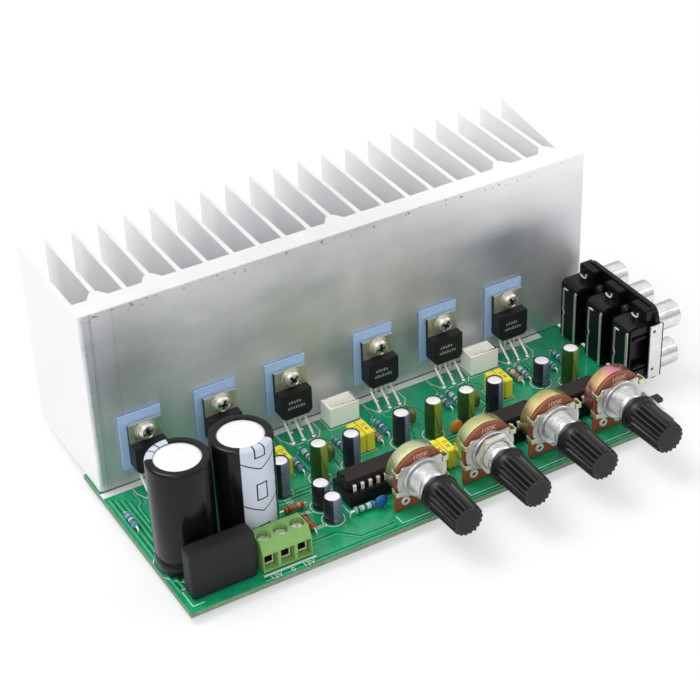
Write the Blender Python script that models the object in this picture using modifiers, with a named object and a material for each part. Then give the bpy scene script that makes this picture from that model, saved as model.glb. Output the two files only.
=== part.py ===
"""Audio amplifier board: six power chips on a finned heatsink, four controls along the front edge.

Built in metres, +Z up. X runs along the heatsink, the controls face -Y and the jacks face +X.
Sizes below are read from left to right off the heatsink's left end and forward from its flat face;
heights are above the top of the circuit board. One empty carries the whole board into place.
"""

import math

import bmesh
import bpy
from mathutils import Matrix, Vector

NAME = "audio_amplifier_board"

# Clearances
TOUCH = 0.0003
OVERLAP = 0.0003

# Heatsink extrusion
HEATSINK_LENGTH = 0.1660
HEATSINK_HEIGHT = 0.0593
HEATSINK_BASE = 0.0071
FIN_LENGTH = 0.0362
FIN_ROOT = 0.0015
FIN_TIP = 0.0010
FIN_SPACING = 0.00822
BOSS_ROOT = 0.0064
BOSS_CREST = 0.0026
BOSS_RISE = 0.0029
HEATSINK_CORNER = 0.0010

# Circuit board
BOARD_THICKNESS = 0.0016
BOARD_LEFT_MARGIN = 0.0006
BOARD_UNDER_HEATSINK = 0.0110
BOARD_RIGHT_MARGIN = 0.0161
BOARD_FRONT_MARGIN = 0.0058
SOLDER_HEIGHT = 0.0020
SOLDER_RADIUS = 0.0011
SOLDER_TIP = SOLDER_RADIUS / 3
FOOT_SCREW_RADIUS = 0.0013
FOOT_SCREW_HEAD = 0.0028
FOOT_SCREW_LENGTH = 0.0080
FOOT_SCREW_INSET = 0.0052

# Power chips, their pads and screws
CHIP_FIRST = 0.0140
CHIP_STEPS = (0.0236, 0.0227, 0.0295, 0.0227, 0.0237)
PAD_WIDTH = 0.0130
PAD_HEIGHT = 0.0183
PAD_THICKNESS = 0.0006
PAD_FOOT = 0.0058
TAB_WIDTH = 0.0102
TAB_THICKNESS = 0.0013
TAB_ABOVE_BODY = 0.0061
CHIP_BODY_FOOT = 0.0064
CHIP_BODY_HEIGHT = 0.0088
CHIP_BODY_THICKNESS = 0.0045
CHIP_BODY_CHAMFER = 0.0012
CHIP_SIDE_SHIFT = 0.0007
LEAD_COUNT = 5
LEAD_PITCH = 0.0017
LEAD_RADIUS = 0.0004
LEAD_REACH = 0.0048
LEAD_DEPTH_IN_BODY = 0.55
LEAD_BEND = 0.0042
CHIP_SCREW_RADIUS = 0.0014
CHIP_SCREW_GRIP = 0.0045
WASHER_RADIUS = 0.0033
WASHER_THICKNESS = 0.0007
SCREW_HEAD_RADIUS = 0.0027
SCREW_HEAD_HEIGHT = 0.0019
CROSS_WIDTH = 0.0007
CROSS_DEPTH = 0.0009
CROSS_REACH = 0.62
CROWN_REACH = 0.6
CROWN_HEIGHT = 0.97

# Mains side: reservoir capacitors, rectifier and terminal block
RESERVOIR_RADIUS = 0.0088
RESERVOIR_HEIGHT = 0.0352
RESERVOIR_GAP = 0.0010
RESERVOIR_TOP_RADIUS = 0.0065
RESERVOIR_RIM = 0.0005
RESERVOIR_CRIMP_HEIGHT = 0.0046
RESERVOIR_CRIMP_DEPTH = 0.0005
RECTIFIER_LENGTH = 0.0193
RECTIFIER_THICKNESS = 0.0055
RECTIFIER_HEIGHT = 0.0152
RECTIFIER_LEFT = 0.0020
RECTIFIER_EDGE = 0.0005
FRONT_ROW_MARGIN = 0.0036
POLE_COUNT = 3
POLE_PITCH = 0.00508
POLE_WALL = 0.0010
TERMINAL_GAP = 0.0016
TERMINAL_DEPTH = 0.0076
TERMINAL_HEIGHT = 0.0097
TERMINAL_SLOPE_DEPTH = 0.0019
TERMINAL_SLOPE_HEIGHT = 0.0035
TERMINAL_FLOOR = 0.0009
TERMINAL_BACK_WALL = 0.0016
TERMINAL_WELL_DEPTH = 0.0024
TERMINAL_SHOULDER = 0.0006
TERMINAL_SCREW_HEAD = 0.0018
TERMINAL_SCREW_HEAD_HEIGHT = 0.0010
TERMINAL_SCREW_RADIUS = 0.0009
TERMINAL_SCREW_REACH = 0.0012
TERMINAL_SCREW_SLOT = 0.0005
CAGE_WIDTH = 0.0033
CAGE_DEPTH = 0.0036
CAGE_FOOT = 0.0006
CAGE_BAR = 0.0015
CAGE_SIDE = 0.0004
CAGE_TRAVEL = 0.0010

# Control chip in its socket
SOCKET_LENGTH = 0.0198
SOCKET_WIDTH = 0.0100
SOCKET_HEIGHT = 0.0043
SOCKET_RAIL = 0.0026
SOCKET_X = 0.0662
SOCKET_Y = 0.0392
CONTROL_CHIP_LENGTH = 0.0192
CONTROL_CHIP_WIDTH = 0.0063
CONTROL_CHIP_HEIGHT = 0.0032
CONTROL_CHIP_EDGE = 0.0005
CONTROL_CHIP_PINS = 7
CHIP_PIN_PITCH = 0.00254
CHIP_PIN_WIDTH = 0.0011
CHIP_PIN_REACH = 0.0007
CHIP_PIN_HEIGHT = 0.0013

# Controls: can, wafer, front plate with threaded bushing, shaft and knob
CONTROL_COUNT = 4
CONTROL_X = 0.0744
CONTROL_PITCH = 0.0225
CONTROL_AXIS = 0.0102
CONTROL_GAP = 0.0018
CAN_RADIUS = 0.0082
CAN_DEPTH = 0.0049
CAN_WALL = 0.0005
WAFER_RADIUS = 0.0083
WAFER_THICKNESS = 0.0010
EYELET_SPACING = 0.0050
EYELET_RADIUS = 0.0013
EYELET_HOLE = 0.0006
EYELET_DROP = 0.0071
EYELET_RISE = 0.0003
PLATE_RADIUS = 0.0080
PLATE_THICKNESS = 0.0007
PLATE_ABOVE_AXIS = 0.0050
PLATE_BELOW_AXIS = 0.0055
CLAW_HEIGHT = 0.0020
CLAW_OFFSET = 0.0033
CLAW_THICKNESS = 0.0004
CLAW_GRIP = 0.0015
COLLAR_RADIUS = 0.0062
COLLAR_DEPTH = 0.0010
BUSHING_RADIUS = 0.0045
BUSHING_LENGTH = 0.0053
SHAFT_RADIUS = 0.0030
SHAFT_IN_KNOB = 0.0120
ROTOR_THICKNESS = 0.0015
ROTOR_PLAY = 0.0008
KNOB_STANDOFF = 0.0019
KNOB_LENGTH = 0.0151
KNOB_SKIRT = 0.0014
KNOB_SKIRT_RADIUS = 0.0057
KNOB_RADIUS = 0.0051
KNOB_TIP_RADIUS = 0.0046
KNOB_VALLEY = 0.0006
KNOB_RIBS = 18
NUT_CONTROL = 2
NUT_RADIUS = 0.0063
NUT_THICKNESS = 0.0020

# Jack block at the right edge
JACK_COLUMNS = 3
JACK_COLUMN_PITCH = 0.0130
JACK_ROWS = (0.0047, 0.0182)
JACK_SEAT = 0.0026
JACK_REAR = 0.0040
JACK_END_WALL = 0.0002
JACK_DEPTH = 0.0109
JACK_WALL = 0.0018
JACK_HEIGHT = 0.0252
JACK_CORNER = 0.0040
TOWER_WIDTH = 0.0089
TOWER_HEIGHT = 0.0208
WEB_DEPTH = 0.0060
WEB_HEIGHT = 0.0180
RIDGE_WIDTH = 0.0076
RIDGE_DEPTH = 0.0030
RIDGE_DROP = 0.0005
RECESS_DEPTH = 0.0024
RECESS_MARGIN = 0.0009
RECESS_FOOT = 0.0050
RECESS_TOP = 0.0028
CONTACT_THICKNESS = 0.0003
CONTACT_WIDTH = 0.0010
CONTACT_INSET = 0.0008
CONTACT_SPACING = 0.0034
CONTACT_DROP = 0.0006
GROUND_THICKNESS = 0.0006
GROUND_FOOT = 0.0015
GROUND_TOP = 0.0202
GROUND_RETURN = 0.0048
GROUND_HOLE = 0.0005
GROUND_HOLE_INSET = 0.7
BARREL_RADIUS = 0.0042
BARREL_LENGTH = 0.0079
BARREL_BORE = 0.0033
BARREL_FLOOR = 0.0008

# Slide switch beside the last control
SWITCH_LENGTH = 0.0104
SWITCH_WIDTH = 0.0046
SWITCH_HEIGHT = 0.0040
SWITCH_WALL = 0.0006
SWITCH_MARGIN = 0.0030
SWITCH_FRONT = 0.0010
LEVER_WIDTH = 0.0030
LEVER_HEIGHT = 0.0014
LEVER_LENGTH = 0.0040
LEVER_TRAVEL = 0.0020
CARRIAGE_LENGTH = 0.0044

# Speaker sockets between the chips
HEADER_LENGTH = 0.0098
HEADER_WIDTH = 0.0060
HEADER_HEIGHT = 0.0068
HEADER_WALL = 0.0008
HEADER_FLOOR = 0.0015
HEADER_REAR = 0.0028
HEADER_PIN = 0.0007
HEADER_PIN_PITCH = 0.0025
HEADER_PIN_TOP = 0.0054

# Small parts soldered to the board: (from left, ahead of the heatsink's face, height)
SMALL_CAN_RADIUS = 0.0026
SMALL_CAN_EDGE = 0.0003
SMALL_CANS = (
    (0.0435, 0.0277, 0.0121),
    (0.0561, 0.0272, 0.0127),
    (0.0503, 0.0384, 0.0084),
    (0.0502, 0.0451, 0.0082),
    (0.0669, 0.0269, 0.0115),
    (0.0844, 0.0255, 0.0110),
    (0.0943, 0.0272, 0.0125),
    (0.1054, 0.0276, 0.0123),
    (0.1154, 0.0275, 0.0118),
    (0.1357, 0.0226, 0.0083),
    (0.1433, 0.0266, 0.0124),
)
FILM_LENGTH = 0.0072
FILM_WIDTH = 0.0027
FILM_HEIGHT = 0.0066
FILM_GAP = 0.0003
FILM_SINGLE = (0.0490, 0.0185)
FILM_PAIRS = ((0.0735, 0.0205), (0.1215, 0.0205))
FILM_AHEAD_OF_CAN = 0.0030
CHICLET_SIZE = (0.0026, 0.0050, 0.0058)
CHICLETS = ((0.0627, 0.0212), (0.0915, 0.0190), (0.1116, 0.0224))
DISC_RADIUS = 0.0022
DISC_THICKNESS = 0.0014
DISCS = ((0.1004, 0.0299), (0.0640, 0.0480))
AXIAL_RADIUS = 0.0011
AXIAL_LENGTH = 0.0060
AXIAL_LEAD = 0.0003
AXIAL_SPAN = 0.0090
RESISTORS = (
    (0.0019, 0.0168),
    (0.0530, 0.0195),
    (0.0574, 0.0172),
    (0.0792, 0.0195),
    (0.0826, 0.0172),
    (0.1050, 0.0165),
    (0.1332, 0.0165),
    (0.1469, 0.0158),
)
CROSS_RESISTOR = (0.0592, 0.0468)
RECTIFIER_DIODES = ((0.0426, 0.0362), (0.0430, 0.0440))

# Steps of round pieces
ROUND = 12
FINE = 20
COARSE = 8


def collection(name, hidden=False):
    made = bpy.data.collections.new(name)
    made.hide_render = hidden
    bpy.context.scene.collection.children.link(made)
    return made


def clear_scene():
    for obj in list(bpy.data.objects):
        bpy.data.objects.remove(obj, do_unlink=True)


clear_scene()
PARTS = collection(NAME)
CUTTERS = collection("cutters", hidden=True)

# Places that follow from the sizes
chip_centres = [CHIP_FIRST + sum(CHIP_STEPS[:i]) for i in range(len(CHIP_STEPS) + 1)]
socket_front = -(SOCKET_Y + SOCKET_WIDTH / 2)
can_rear = socket_front - CONTROL_GAP
can_front = can_rear - CAN_DEPTH
wafer_rear = can_front - TOUCH
wafer_front = wafer_rear - WAFER_THICKNESS
plate_rear = wafer_front - TOUCH
plate_front = plate_rear - PLATE_THICKNESS
collar_front = plate_front - COLLAR_DEPTH
bushing_end = collar_front - BUSHING_LENGTH
knob_rear = bushing_end - KNOB_STANDOFF
knob_front = knob_rear - KNOB_LENGTH
control_centres = [CONTROL_X + CONTROL_PITCH * i for i in range(CONTROL_COUNT)]
board_left = -BOARD_LEFT_MARGIN
board_right = control_centres[-1] + BOARD_RIGHT_MARGIN
board_front = plate_front - BOARD_FRONT_MARGIN
jack_left = board_right - JACK_SEAT
jack_right = jack_left + JACK_DEPTH
jack_end = jack_right + TOUCH + GROUND_THICKNESS + BARREL_LENGTH
heatsink_depth = HEATSINK_BASE + FIN_LENGTH
front_row = board_front + FRONT_ROW_MARGIN
reservoir_y = front_row + TERMINAL_DEPTH + TOUCH + RESERVOIR_RADIUS
reservoir_first = board_left + RESERVOIR_RADIUS + TOUCH
tab_rear = -(TOUCH + PAD_THICKNESS + TOUCH)
tab_front = tab_rear - TAB_THICKNESS
screw_height = CHIP_BODY_FOOT + CHIP_BODY_HEIGHT + TOUCH + WASHER_RADIUS

ORIGIN = bpy.data.objects.new("board_frame", None)
PARTS.objects.link(ORIGIN)
ORIGIN.location = (
    -(board_left + jack_end) / 2,
    -(knob_front + heatsink_depth) / 2,
    BOARD_THICKNESS + SOLDER_HEIGHT,
)


# Shapes
def mesh_of(bm):
    mesh = bpy.data.meshes.new("shape")
    bmesh.ops.recalc_face_normals(bm, faces=bm.faces)
    bm.to_mesh(mesh)
    bm.free()
    return mesh


def box(x, y, z):
    """A box from three pairs of limits, in any order."""
    bm = bmesh.new()
    size = Vector([abs(b - a) for a, b in (x, y, z)])
    middle = Vector([(a + b) / 2 for a, b in (x, y, z)])
    bmesh.ops.create_cube(bm, size=1, matrix=Matrix.LocRotScale(middle, None, size))
    return mesh_of(bm)


def rod(start, end, radius, end_radius=None, sides=ROUND):
    """A cylinder or cone between two points."""
    start, end = Vector(start), Vector(end)
    turn = (end - start).to_track_quat("Z", "Y").to_matrix().to_4x4()
    bm = bmesh.new()
    bmesh.ops.create_cone(
        bm,
        cap_ends=True,
        segments=sides,
        radius1=radius,
        radius2=radius if end_radius is None else end_radius,
        depth=(end - start).length,
        matrix=Matrix.Translation((start + end) / 2) @ turn,
    )
    return mesh_of(bm)


def evaluated(obj):
    """The object's finished mesh; the object itself is removed."""
    bpy.context.view_layer.update()
    graph = bpy.context.evaluated_depsgraph_get()
    mesh = bpy.data.meshes.new_from_object(obj.evaluated_get(graph), depsgraph=graph)
    bpy.data.objects.remove(obj, do_unlink=True)
    return mesh


def bent_wire(points, radius):
    """A lead along straight legs, four-sided, with its ends filled."""
    curve = bpy.data.curves.new("lead", "CURVE")
    curve.dimensions = "3D"
    curve.bevel_depth = radius
    curve.bevel_resolution = 0
    curve.use_fill_caps = True
    spline = curve.splines.new("POLY")
    spline.points.add(len(points) - 1)
    for point, place in zip(spline.points, points):
        point.co = (*place, 1)
    obj = bpy.data.objects.new("lead", curve)
    CUTTERS.objects.link(obj)
    return welded(evaluated(obj))


def prism(outline, low, high, axis="Z"):
    """A flat outline drawn out between two places along an axis."""
    curve = bpy.data.curves.new("outline", "CURVE")
    curve.dimensions = "2D"
    curve.fill_mode = "BOTH"
    curve.extrude = (high - low) / 2
    spline = curve.splines.new("POLY")
    spline.points.add(len(outline) - 1)
    spline.use_cyclic_u = True
    for point, (across, up) in zip(spline.points, outline):
        point.co = (across, up, 0, 1)
    obj = bpy.data.objects.new("outline", curve)
    CUTTERS.objects.link(obj)
    mesh = welded(evaluated(obj))
    mesh.transform(Matrix.Translation((0, 0, (low + high) / 2)))
    # Outlines for X are (y, z) pairs and outlines for Y are (x, z) pairs.
    turns = {
        "Z": Matrix.Identity(4),
        "X": Matrix(((0, 0, 1, 0), (1, 0, 0, 0), (0, 1, 0, 0), (0, 0, 0, 1))),
        "Y": Matrix(((1, 0, 0, 0), (0, 0, 1, 0), (0, 1, 0, 0), (0, 0, 0, 1))),
    }
    mesh.transform(turns[axis])
    if axis == "Y":
        mesh.flip_normals()
    return mesh


def welded(mesh):
    bm = bmesh.new()
    bm.from_mesh(mesh)
    bmesh.ops.remove_doubles(bm, verts=bm.verts, dist=1e-6)
    bm.to_mesh(mesh)
    bm.free()
    return mesh


def turned(profile, base=(0, 0, 0), facing_front=False, steps=ROUND):
    """A profile of (radius, height) pairs, from the top down, turned about its axis."""
    mesh = bpy.data.meshes.new("profile")
    points = [(radius, 0, height) for radius, height in profile]
    mesh.from_pydata(points, [(i, i + 1) for i in range(len(points) - 1)], [])
    obj = bpy.data.objects.new("profile", mesh)
    CUTTERS.objects.link(obj)
    screw = obj.modifiers.new("turn", "SCREW")
    screw.axis = "Z"
    screw.steps = steps
    screw.render_steps = steps
    screw.use_merge_vertices = True
    screw.merge_threshold = 0.00001
    made = evaluated(obj)
    turn = Matrix.Rotation(math.radians(90), 4, "X") if facing_front else Matrix.Identity(4)
    made.transform(Matrix.Translation(base) @ turn)
    return made


def arc(centre, radius, start, end, steps):
    """Points of an arc, angles in degrees."""
    angles = [math.radians(start + (end - start) * i / steps) for i in range(steps + 1)]
    return [(centre[0] + radius * math.cos(a), centre[1] + radius * math.sin(a)) for a in angles]


def softened(mesh, width, chosen=lambda edge: True):
    """The same mesh with a small bevel along the chosen edges."""
    bm = bmesh.new()
    bm.from_mesh(mesh)
    edges = [edge for edge in bm.edges if chosen(edge)]
    bmesh.ops.bevel(bm, geom=edges, offset=width, segments=1, affect="EDGES")
    bm.to_mesh(mesh)
    bm.free()
    return mesh


# Joining, cutting and placing
def helper(name, mesh, group):
    obj = bpy.data.objects.new(name, mesh)
    group.objects.link(obj)
    obj.hide_render = True
    obj.display_type = "WIRE"
    return obj


def combine(obj, solids, operation, parent=None):
    """A Boolean on the object with all of the solids as its operands."""
    group = bpy.data.collections.new(f"{obj.name}_{operation.lower()}")
    CUTTERS.children.link(group)
    for index, mesh in enumerate(solids):
        helper(f"{group.name}_{index + 1}", mesh, group).parent = parent
    step = obj.modifiers.new(operation.lower(), "BOOLEAN")
    step.operation = operation
    step.solver = "EXACT"
    step.operand_type = "COLLECTION"
    step.collection = group
    return group


def solid(first, joined=(), removed=()):
    """One mesh: the first with others joined to it and more cut from it."""
    obj = helper("solid", first, CUTTERS)
    groups = []
    if joined:
        groups.append(combine(obj, joined, "UNION"))
    if removed:
        groups.append(combine(obj, removed, "DIFFERENCE"))
    mesh = evaluated(obj)
    for group in groups:
        for used in list(group.objects):
            bpy.data.objects.remove(used, do_unlink=True)
        bpy.data.collections.remove(group)
    return mesh


def material(name, colour, roughness, metallic=0.0):
    made = bpy.data.materials.new(name)
    made.use_nodes = True
    shader = made.node_tree.nodes["Principled BSDF"]
    shader.inputs["Base Color"].default_value = (*colour, 1)
    shader.inputs["Roughness"].default_value = roughness
    shader.inputs["Metallic"].default_value = metallic
    made.diffuse_color = (*colour, 1)
    return made


def place(name, mesh, look, at=(0, 0, 0), smooth=False):
    """A named piece of the board, its origin at a place in the board's frame."""
    if not mesh.materials:
        mesh.materials.append(look)
    mesh.materials[0] = look
    obj = bpy.data.objects.new(name, mesh)
    PARTS.objects.link(obj)
    obj.parent = ORIGIN
    obj.location = at
    if smooth:
        mesh.shade_smooth()
        mesh.set_sharp_from_angle(angle=math.radians(35))
    return obj


ALUMINIUM = material("aluminium", (0.60, 0.62, 0.61), 0.35, 1.0)
BOARD_GREEN = material("solder_mask", (0.01, 0.22, 0.10), 0.30)
CHIP_BLACK = material("chip_plastic", (0.02, 0.02, 0.02), 0.55)
PAD_BLUE = material("insulating_sheet", (0.42, 0.55, 0.80), 0.55)
STEEL = material("plated_steel", (0.75, 0.73, 0.66), 0.25, 1.0)
SLEEVE_BLACK = material("capacitor_sleeve", (0.03, 0.03, 0.035), 0.40)
RECTIFIER_BLACK = material("rectifier_plastic", (0.03, 0.03, 0.03), 0.60)
TERMINAL_GREEN = material("terminal_plastic", (0.28, 0.55, 0.18), 0.45)
CAGE_METAL = material("tinned_cage", (0.82, 0.80, 0.74), 0.30, 1.0)
SOCKET_BLACK = material("socket_plastic", (0.015, 0.015, 0.017), 0.55)
CAN_YELLOW = material("passivated_steel", (0.62, 0.62, 0.28), 0.30, 1.0)
WAFER_BROWN = material("brown_laminate", (0.25, 0.08, 0.03), 0.55)
BUSHING_ZINC = material("die_cast_zinc", (0.70, 0.70, 0.68), 0.35, 1.0)
SHAFT_METAL = material("shaft_metal", (0.65, 0.65, 0.63), 0.35, 1.0)
KNOB_BLACK = material("knob_plastic", (0.02, 0.02, 0.022), 0.50)
JACK_BLACK = material("jack_plastic", (0.02, 0.02, 0.02), 0.40)
JACK_METAL = material("jack_metal", (0.80, 0.80, 0.80), 0.25, 1.0)
SWITCH_METAL = material("switch_can", (0.78, 0.77, 0.72), 0.30, 1.0)
LEVER_BLACK = material("lever_plastic", (0.02, 0.02, 0.02), 0.50)
NYLON_WHITE = material("white_nylon", (0.82, 0.82, 0.74), 0.45)


def fin_count():
    return 1 + round((HEATSINK_LENGTH - FIN_ROOT) / FIN_SPACING)


def fin_centre(index):
    """Fins run from end to end, the outer two flush with the ends."""
    return FIN_ROOT / 2 + (HEATSINK_LENGTH - FIN_ROOT) * index / (fin_count() - 1)


def boss_centres():
    """Screw bosses stand at the second and fourth fins from each end, and in the middle."""
    last = fin_count() - 1
    return [fin_centre(i) for i in (1, 3, last // 2, last - 3, last - 1)]


def foot_screws():
    """Screws rise through the board into the bosses that it reaches."""
    return [x for x in boss_centres() if x + FOOT_SCREW_HEAD < board_right]


def heatsink():
    """One extruded section: flat base, tapered fins and bosses at the roots of five of them."""
    bosses = boss_centres()
    outline = arc((HEATSINK_CORNER, HEATSINK_CORNER), HEATSINK_CORNER, 180, 270, 3)
    outline += arc((HEATSINK_LENGTH - HEATSINK_CORNER, HEATSINK_CORNER), HEATSINK_CORNER, 270, 360, 3)
    for index in reversed(range(fin_count())):
        centre = fin_centre(index)
        boss = centre in bosses
        taper = (FIN_ROOT - FIN_TIP) / 2
        rise = HEATSINK_BASE + BOSS_RISE
        crest = centre + BOSS_CREST / 2
        right = [(centre + FIN_ROOT / 2 - taper, heatsink_depth)]
        if boss:
            flank = [(centre + BOSS_ROOT / 2, HEATSINK_BASE), (crest, rise), (centre + FIN_ROOT / 2, rise)]
            right = flank + right
        elif index < fin_count() - 1:
            right = [(centre + FIN_ROOT / 2, HEATSINK_BASE)] + right
        left = [(2 * centre - x, y) for x, y in reversed(right)]
        if index == 0:
            left = left[:1]
        outline += right + left
    holes = []
    for centre in chip_centres:
        x = centre + CHIP_SIDE_SHIFT
        hole = CHIP_SCREW_RADIUS + TOUCH
        deep = CHIP_SCREW_GRIP + TOUCH
        holes.append(rod((x, -TOUCH, screw_height), (x, deep, screw_height), hole))
    for centre in foot_screws():
        deep = FOOT_SCREW_LENGTH + TOUCH
        hole = FOOT_SCREW_RADIUS + TOUCH
        start, end = (centre, FOOT_SCREW_INSET, -TOUCH), (centre, FOOT_SCREW_INSET, deep)
        holes.append(rod(start, end, hole, sides=COARSE))
    sink = place("heatsink", prism(outline, TOUCH, TOUCH + HEATSINK_HEIGHT), ALUMINIUM)
    combine(sink, holes, "DIFFERENCE", ORIGIN)


def reservoir_x(index):
    return reservoir_first + index * (2 * RESERVOIR_RADIUS + RESERVOIR_GAP)


def terminal_left():
    return RECTIFIER_LEFT + RECTIFIER_LENGTH + TERMINAL_GAP


def pole_x(index):
    return terminal_left() + POLE_PITCH * (index + 0.5)


def pole_y():
    return front_row + TERMINAL_DEPTH - TERMINAL_BACK_WALL - TOUCH - CAGE_DEPTH / 2


def header_centres():
    """Each speaker socket stands midway between two chips."""
    return [(chip_centres[i] + chip_centres[i + 1]) / 2 for i in (2, 4)]


def lead_y(index):
    """Every other lead of a chip is bent forward to the front row of holes."""
    straight = tab_rear - CHIP_BODY_THICKNESS * LEAD_DEPTH_IN_BODY
    return straight - LEAD_REACH if index % 2 == 0 else straight


def solder_points():
    """Where leads come through the board, as (x, y)."""
    points = []
    for centre in chip_centres:
        middle = centre + CHIP_SIDE_SHIFT
        points += [(middle + LEAD_PITCH * (i - 2), lead_y(i)) for i in range(LEAD_COUNT)]
    for i in range(2):
        points += [(reservoir_x(i) + side * RESERVOIR_RADIUS / 2, reservoir_y) for side in (-1, 1)]
    rectifier_y = front_row + RECTIFIER_THICKNESS / 2
    points += [(RECTIFIER_LEFT + RECTIFIER_LENGTH * (i + 0.5) / 4, rectifier_y) for i in range(4)]
    points += [(pole_x(i), pole_y()) for i in range(POLE_COUNT)]
    for centre in control_centres:
        points += [(centre + EYELET_SPACING * i, wafer_rear) for i in (-1, 0, 1)]
    for centre in header_centres():
        middle = -(HEADER_REAR + HEADER_WIDTH / 2)
        points += [(centre + side * HEADER_PIN_PITCH / 2, middle) for side in (-1, 1)]
    for column in range(JACK_COLUMNS):
        points.append((jack_left + SOLDER_RADIUS, jack_column_y(column)))
    return points


def jack_column_y(index):
    return -(JACK_REAR + JACK_END_WALL + TOWER_WIDTH / 2 + JACK_COLUMN_PITCH * index)


def axial(x, y, along_x=False):
    """A resistor or diode: its body with two leads bent down to the board."""
    side = Vector((1, 0, 0)) if along_x else Vector((0, 1, 0))
    middle = Vector((x, -y, AXIAL_RADIUS + TOUCH))
    body = rod(middle - side * AXIAL_LENGTH / 2, middle + side * AXIAL_LENGTH / 2, AXIAL_RADIUS, sides=6)
    ends = [middle - side * AXIAL_SPAN / 2, middle + side * AXIAL_SPAN / 2]
    feet = [Vector((end.x, end.y, -OVERLAP)) for end in ends]
    return [body, bent_wire([feet[0], *ends, feet[1]], AXIAL_LEAD)]


def film_capacitor(x, y):
    half = (FILM_WIDTH / 2, FILM_LENGTH / 2)
    return box((x - half[0], x + half[0]), (-y - half[1], -y + half[1]), (-OVERLAP, FILM_HEIGHT))


def small_parts():
    """The small soldered parts, which stay joined to the board."""
    pieces = []
    for x, y, height in SMALL_CANS:
        can = rod((x, -y, -OVERLAP), (x, -y, height), SMALL_CAN_RADIUS)
        top = height - SMALL_CAN_EDGE / 2
        pieces.append(softened(can, SMALL_CAN_EDGE, lambda e: all(v.co.z > top for v in e.verts)))
    pair = (FILM_WIDTH + FILM_GAP) / 2
    pieces.append(film_capacitor(*FILM_SINGLE))
    for x, y in FILM_PAIRS:
        pieces += [film_capacitor(x - pair, y), film_capacitor(x + pair, y)]
    between = (control_centres[0] + control_centres[1]) / 2
    pieces.append(film_capacitor(between, -can_rear - FILM_AHEAD_OF_CAN))
    width, depth, height = CHICLET_SIZE
    for x, y in CHICLETS:
        chip = box((x - width / 2, x + width / 2), (-y - depth / 2, -y + depth / 2), (-OVERLAP, height))
        pieces.append(softened(chip, width / 4, lambda e: abs(e.verts[0].co.z - e.verts[1].co.z) > width))
    for x, y in DISCS:
        half = DISC_THICKNESS / 2
        height = DISC_RADIUS - OVERLAP
        pieces.append(rod((x, half - y, height), (x, -half - y, height), DISC_RADIUS, sides=10))
    for x, y in RESISTORS:
        pieces += axial(x, y)
    pieces += axial(*CROSS_RESISTOR, along_x=True)
    pieces += axial(*RECTIFIER_DIODES[0], along_x=True)
    pieces += axial(*RECTIFIER_DIODES[1])
    return pieces


def circuit_board():
    """The board with its small soldered parts, solder points and the screws of the heatsink's foot."""
    slab = box((board_left, board_right), (board_front, BOARD_UNDER_HEATSINK), (-BOARD_THICKNESS, 0))
    pieces = small_parts()
    under = -BOARD_THICKNESS
    for x, y in solder_points():
        root, tip = (x, y, under + OVERLAP), (x, y, under - SOLDER_HEIGHT)
        pieces.append(rod(root, tip, SOLDER_RADIUS, SOLDER_TIP, sides=5))
    for x in foot_screws():
        y = FOOT_SCREW_INSET
        head = rod((x, y, under - SOLDER_HEIGHT + TOUCH), (x, y, under + OVERLAP), FOOT_SCREW_HEAD)
        shank = rod((x, y, -OVERLAP), (x, y, FOOT_SCREW_LENGTH), FOOT_SCREW_RADIUS, sides=COARSE)
        pieces += [head, shank]
    board = place("circuit_board", slab, BOARD_GREEN)
    combine(board, pieces, "UNION", ORIGIN)


def power_chip():
    """Black body over a bare metal tab, with five leads in two rows."""
    half = TAB_WIDTH / 2
    foot, top = CHIP_BODY_FOOT, CHIP_BODY_FOOT + CHIP_BODY_HEIGHT
    cut = CHIP_BODY_CHAMFER
    left = [(-half, top), (-half, foot + cut), (cut - half, foot)]
    outline = left + [(-x, z) for x, z in reversed(left)]
    body = prism(outline, tab_rear - CHIP_BODY_THICKNESS, tab_rear, "Y")
    tab_top = top + TAB_ABOVE_BODY
    tab = box((-half, half), (tab_front, tab_rear), (top - OVERLAP, tab_top))
    pieces = [tab]
    straight = lead_y(1)
    for index in range(LEAD_COUNT):
        x = LEAD_PITCH * (index - 2)
        end = lead_y(index)
        path = [(x, straight, foot + OVERLAP), (x, end, TOUCH)]
        if end != straight:
            path[1:1] = [(x, straight, LEAD_BEND), (x, end, TOUCH + LEAD_RADIUS)]
        pieces.append(bent_wire(path, LEAD_RADIUS))
    hole = CHIP_SCREW_RADIUS + TOUCH
    bore = rod((0, tab_front - TOUCH, screw_height), (0, tab_rear + TOUCH, screw_height), hole)
    return solid(body, pieces, [bore])


def insulating_pad():
    x, z = PAD_WIDTH / 2, (PAD_FOOT, PAD_FOOT + PAD_HEIGHT)
    sheet = box((-x, x), (-TOUCH - PAD_THICKNESS, -TOUCH), z)
    hole_x = CHIP_SIDE_SHIFT
    start, end = (hole_x, TOUCH, screw_height), (hole_x, tab_rear, screw_height)
    bore = rod(start, end, CHIP_SCREW_RADIUS + TOUCH, sides=10)
    return solid(sheet, removed=[bore])


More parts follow.
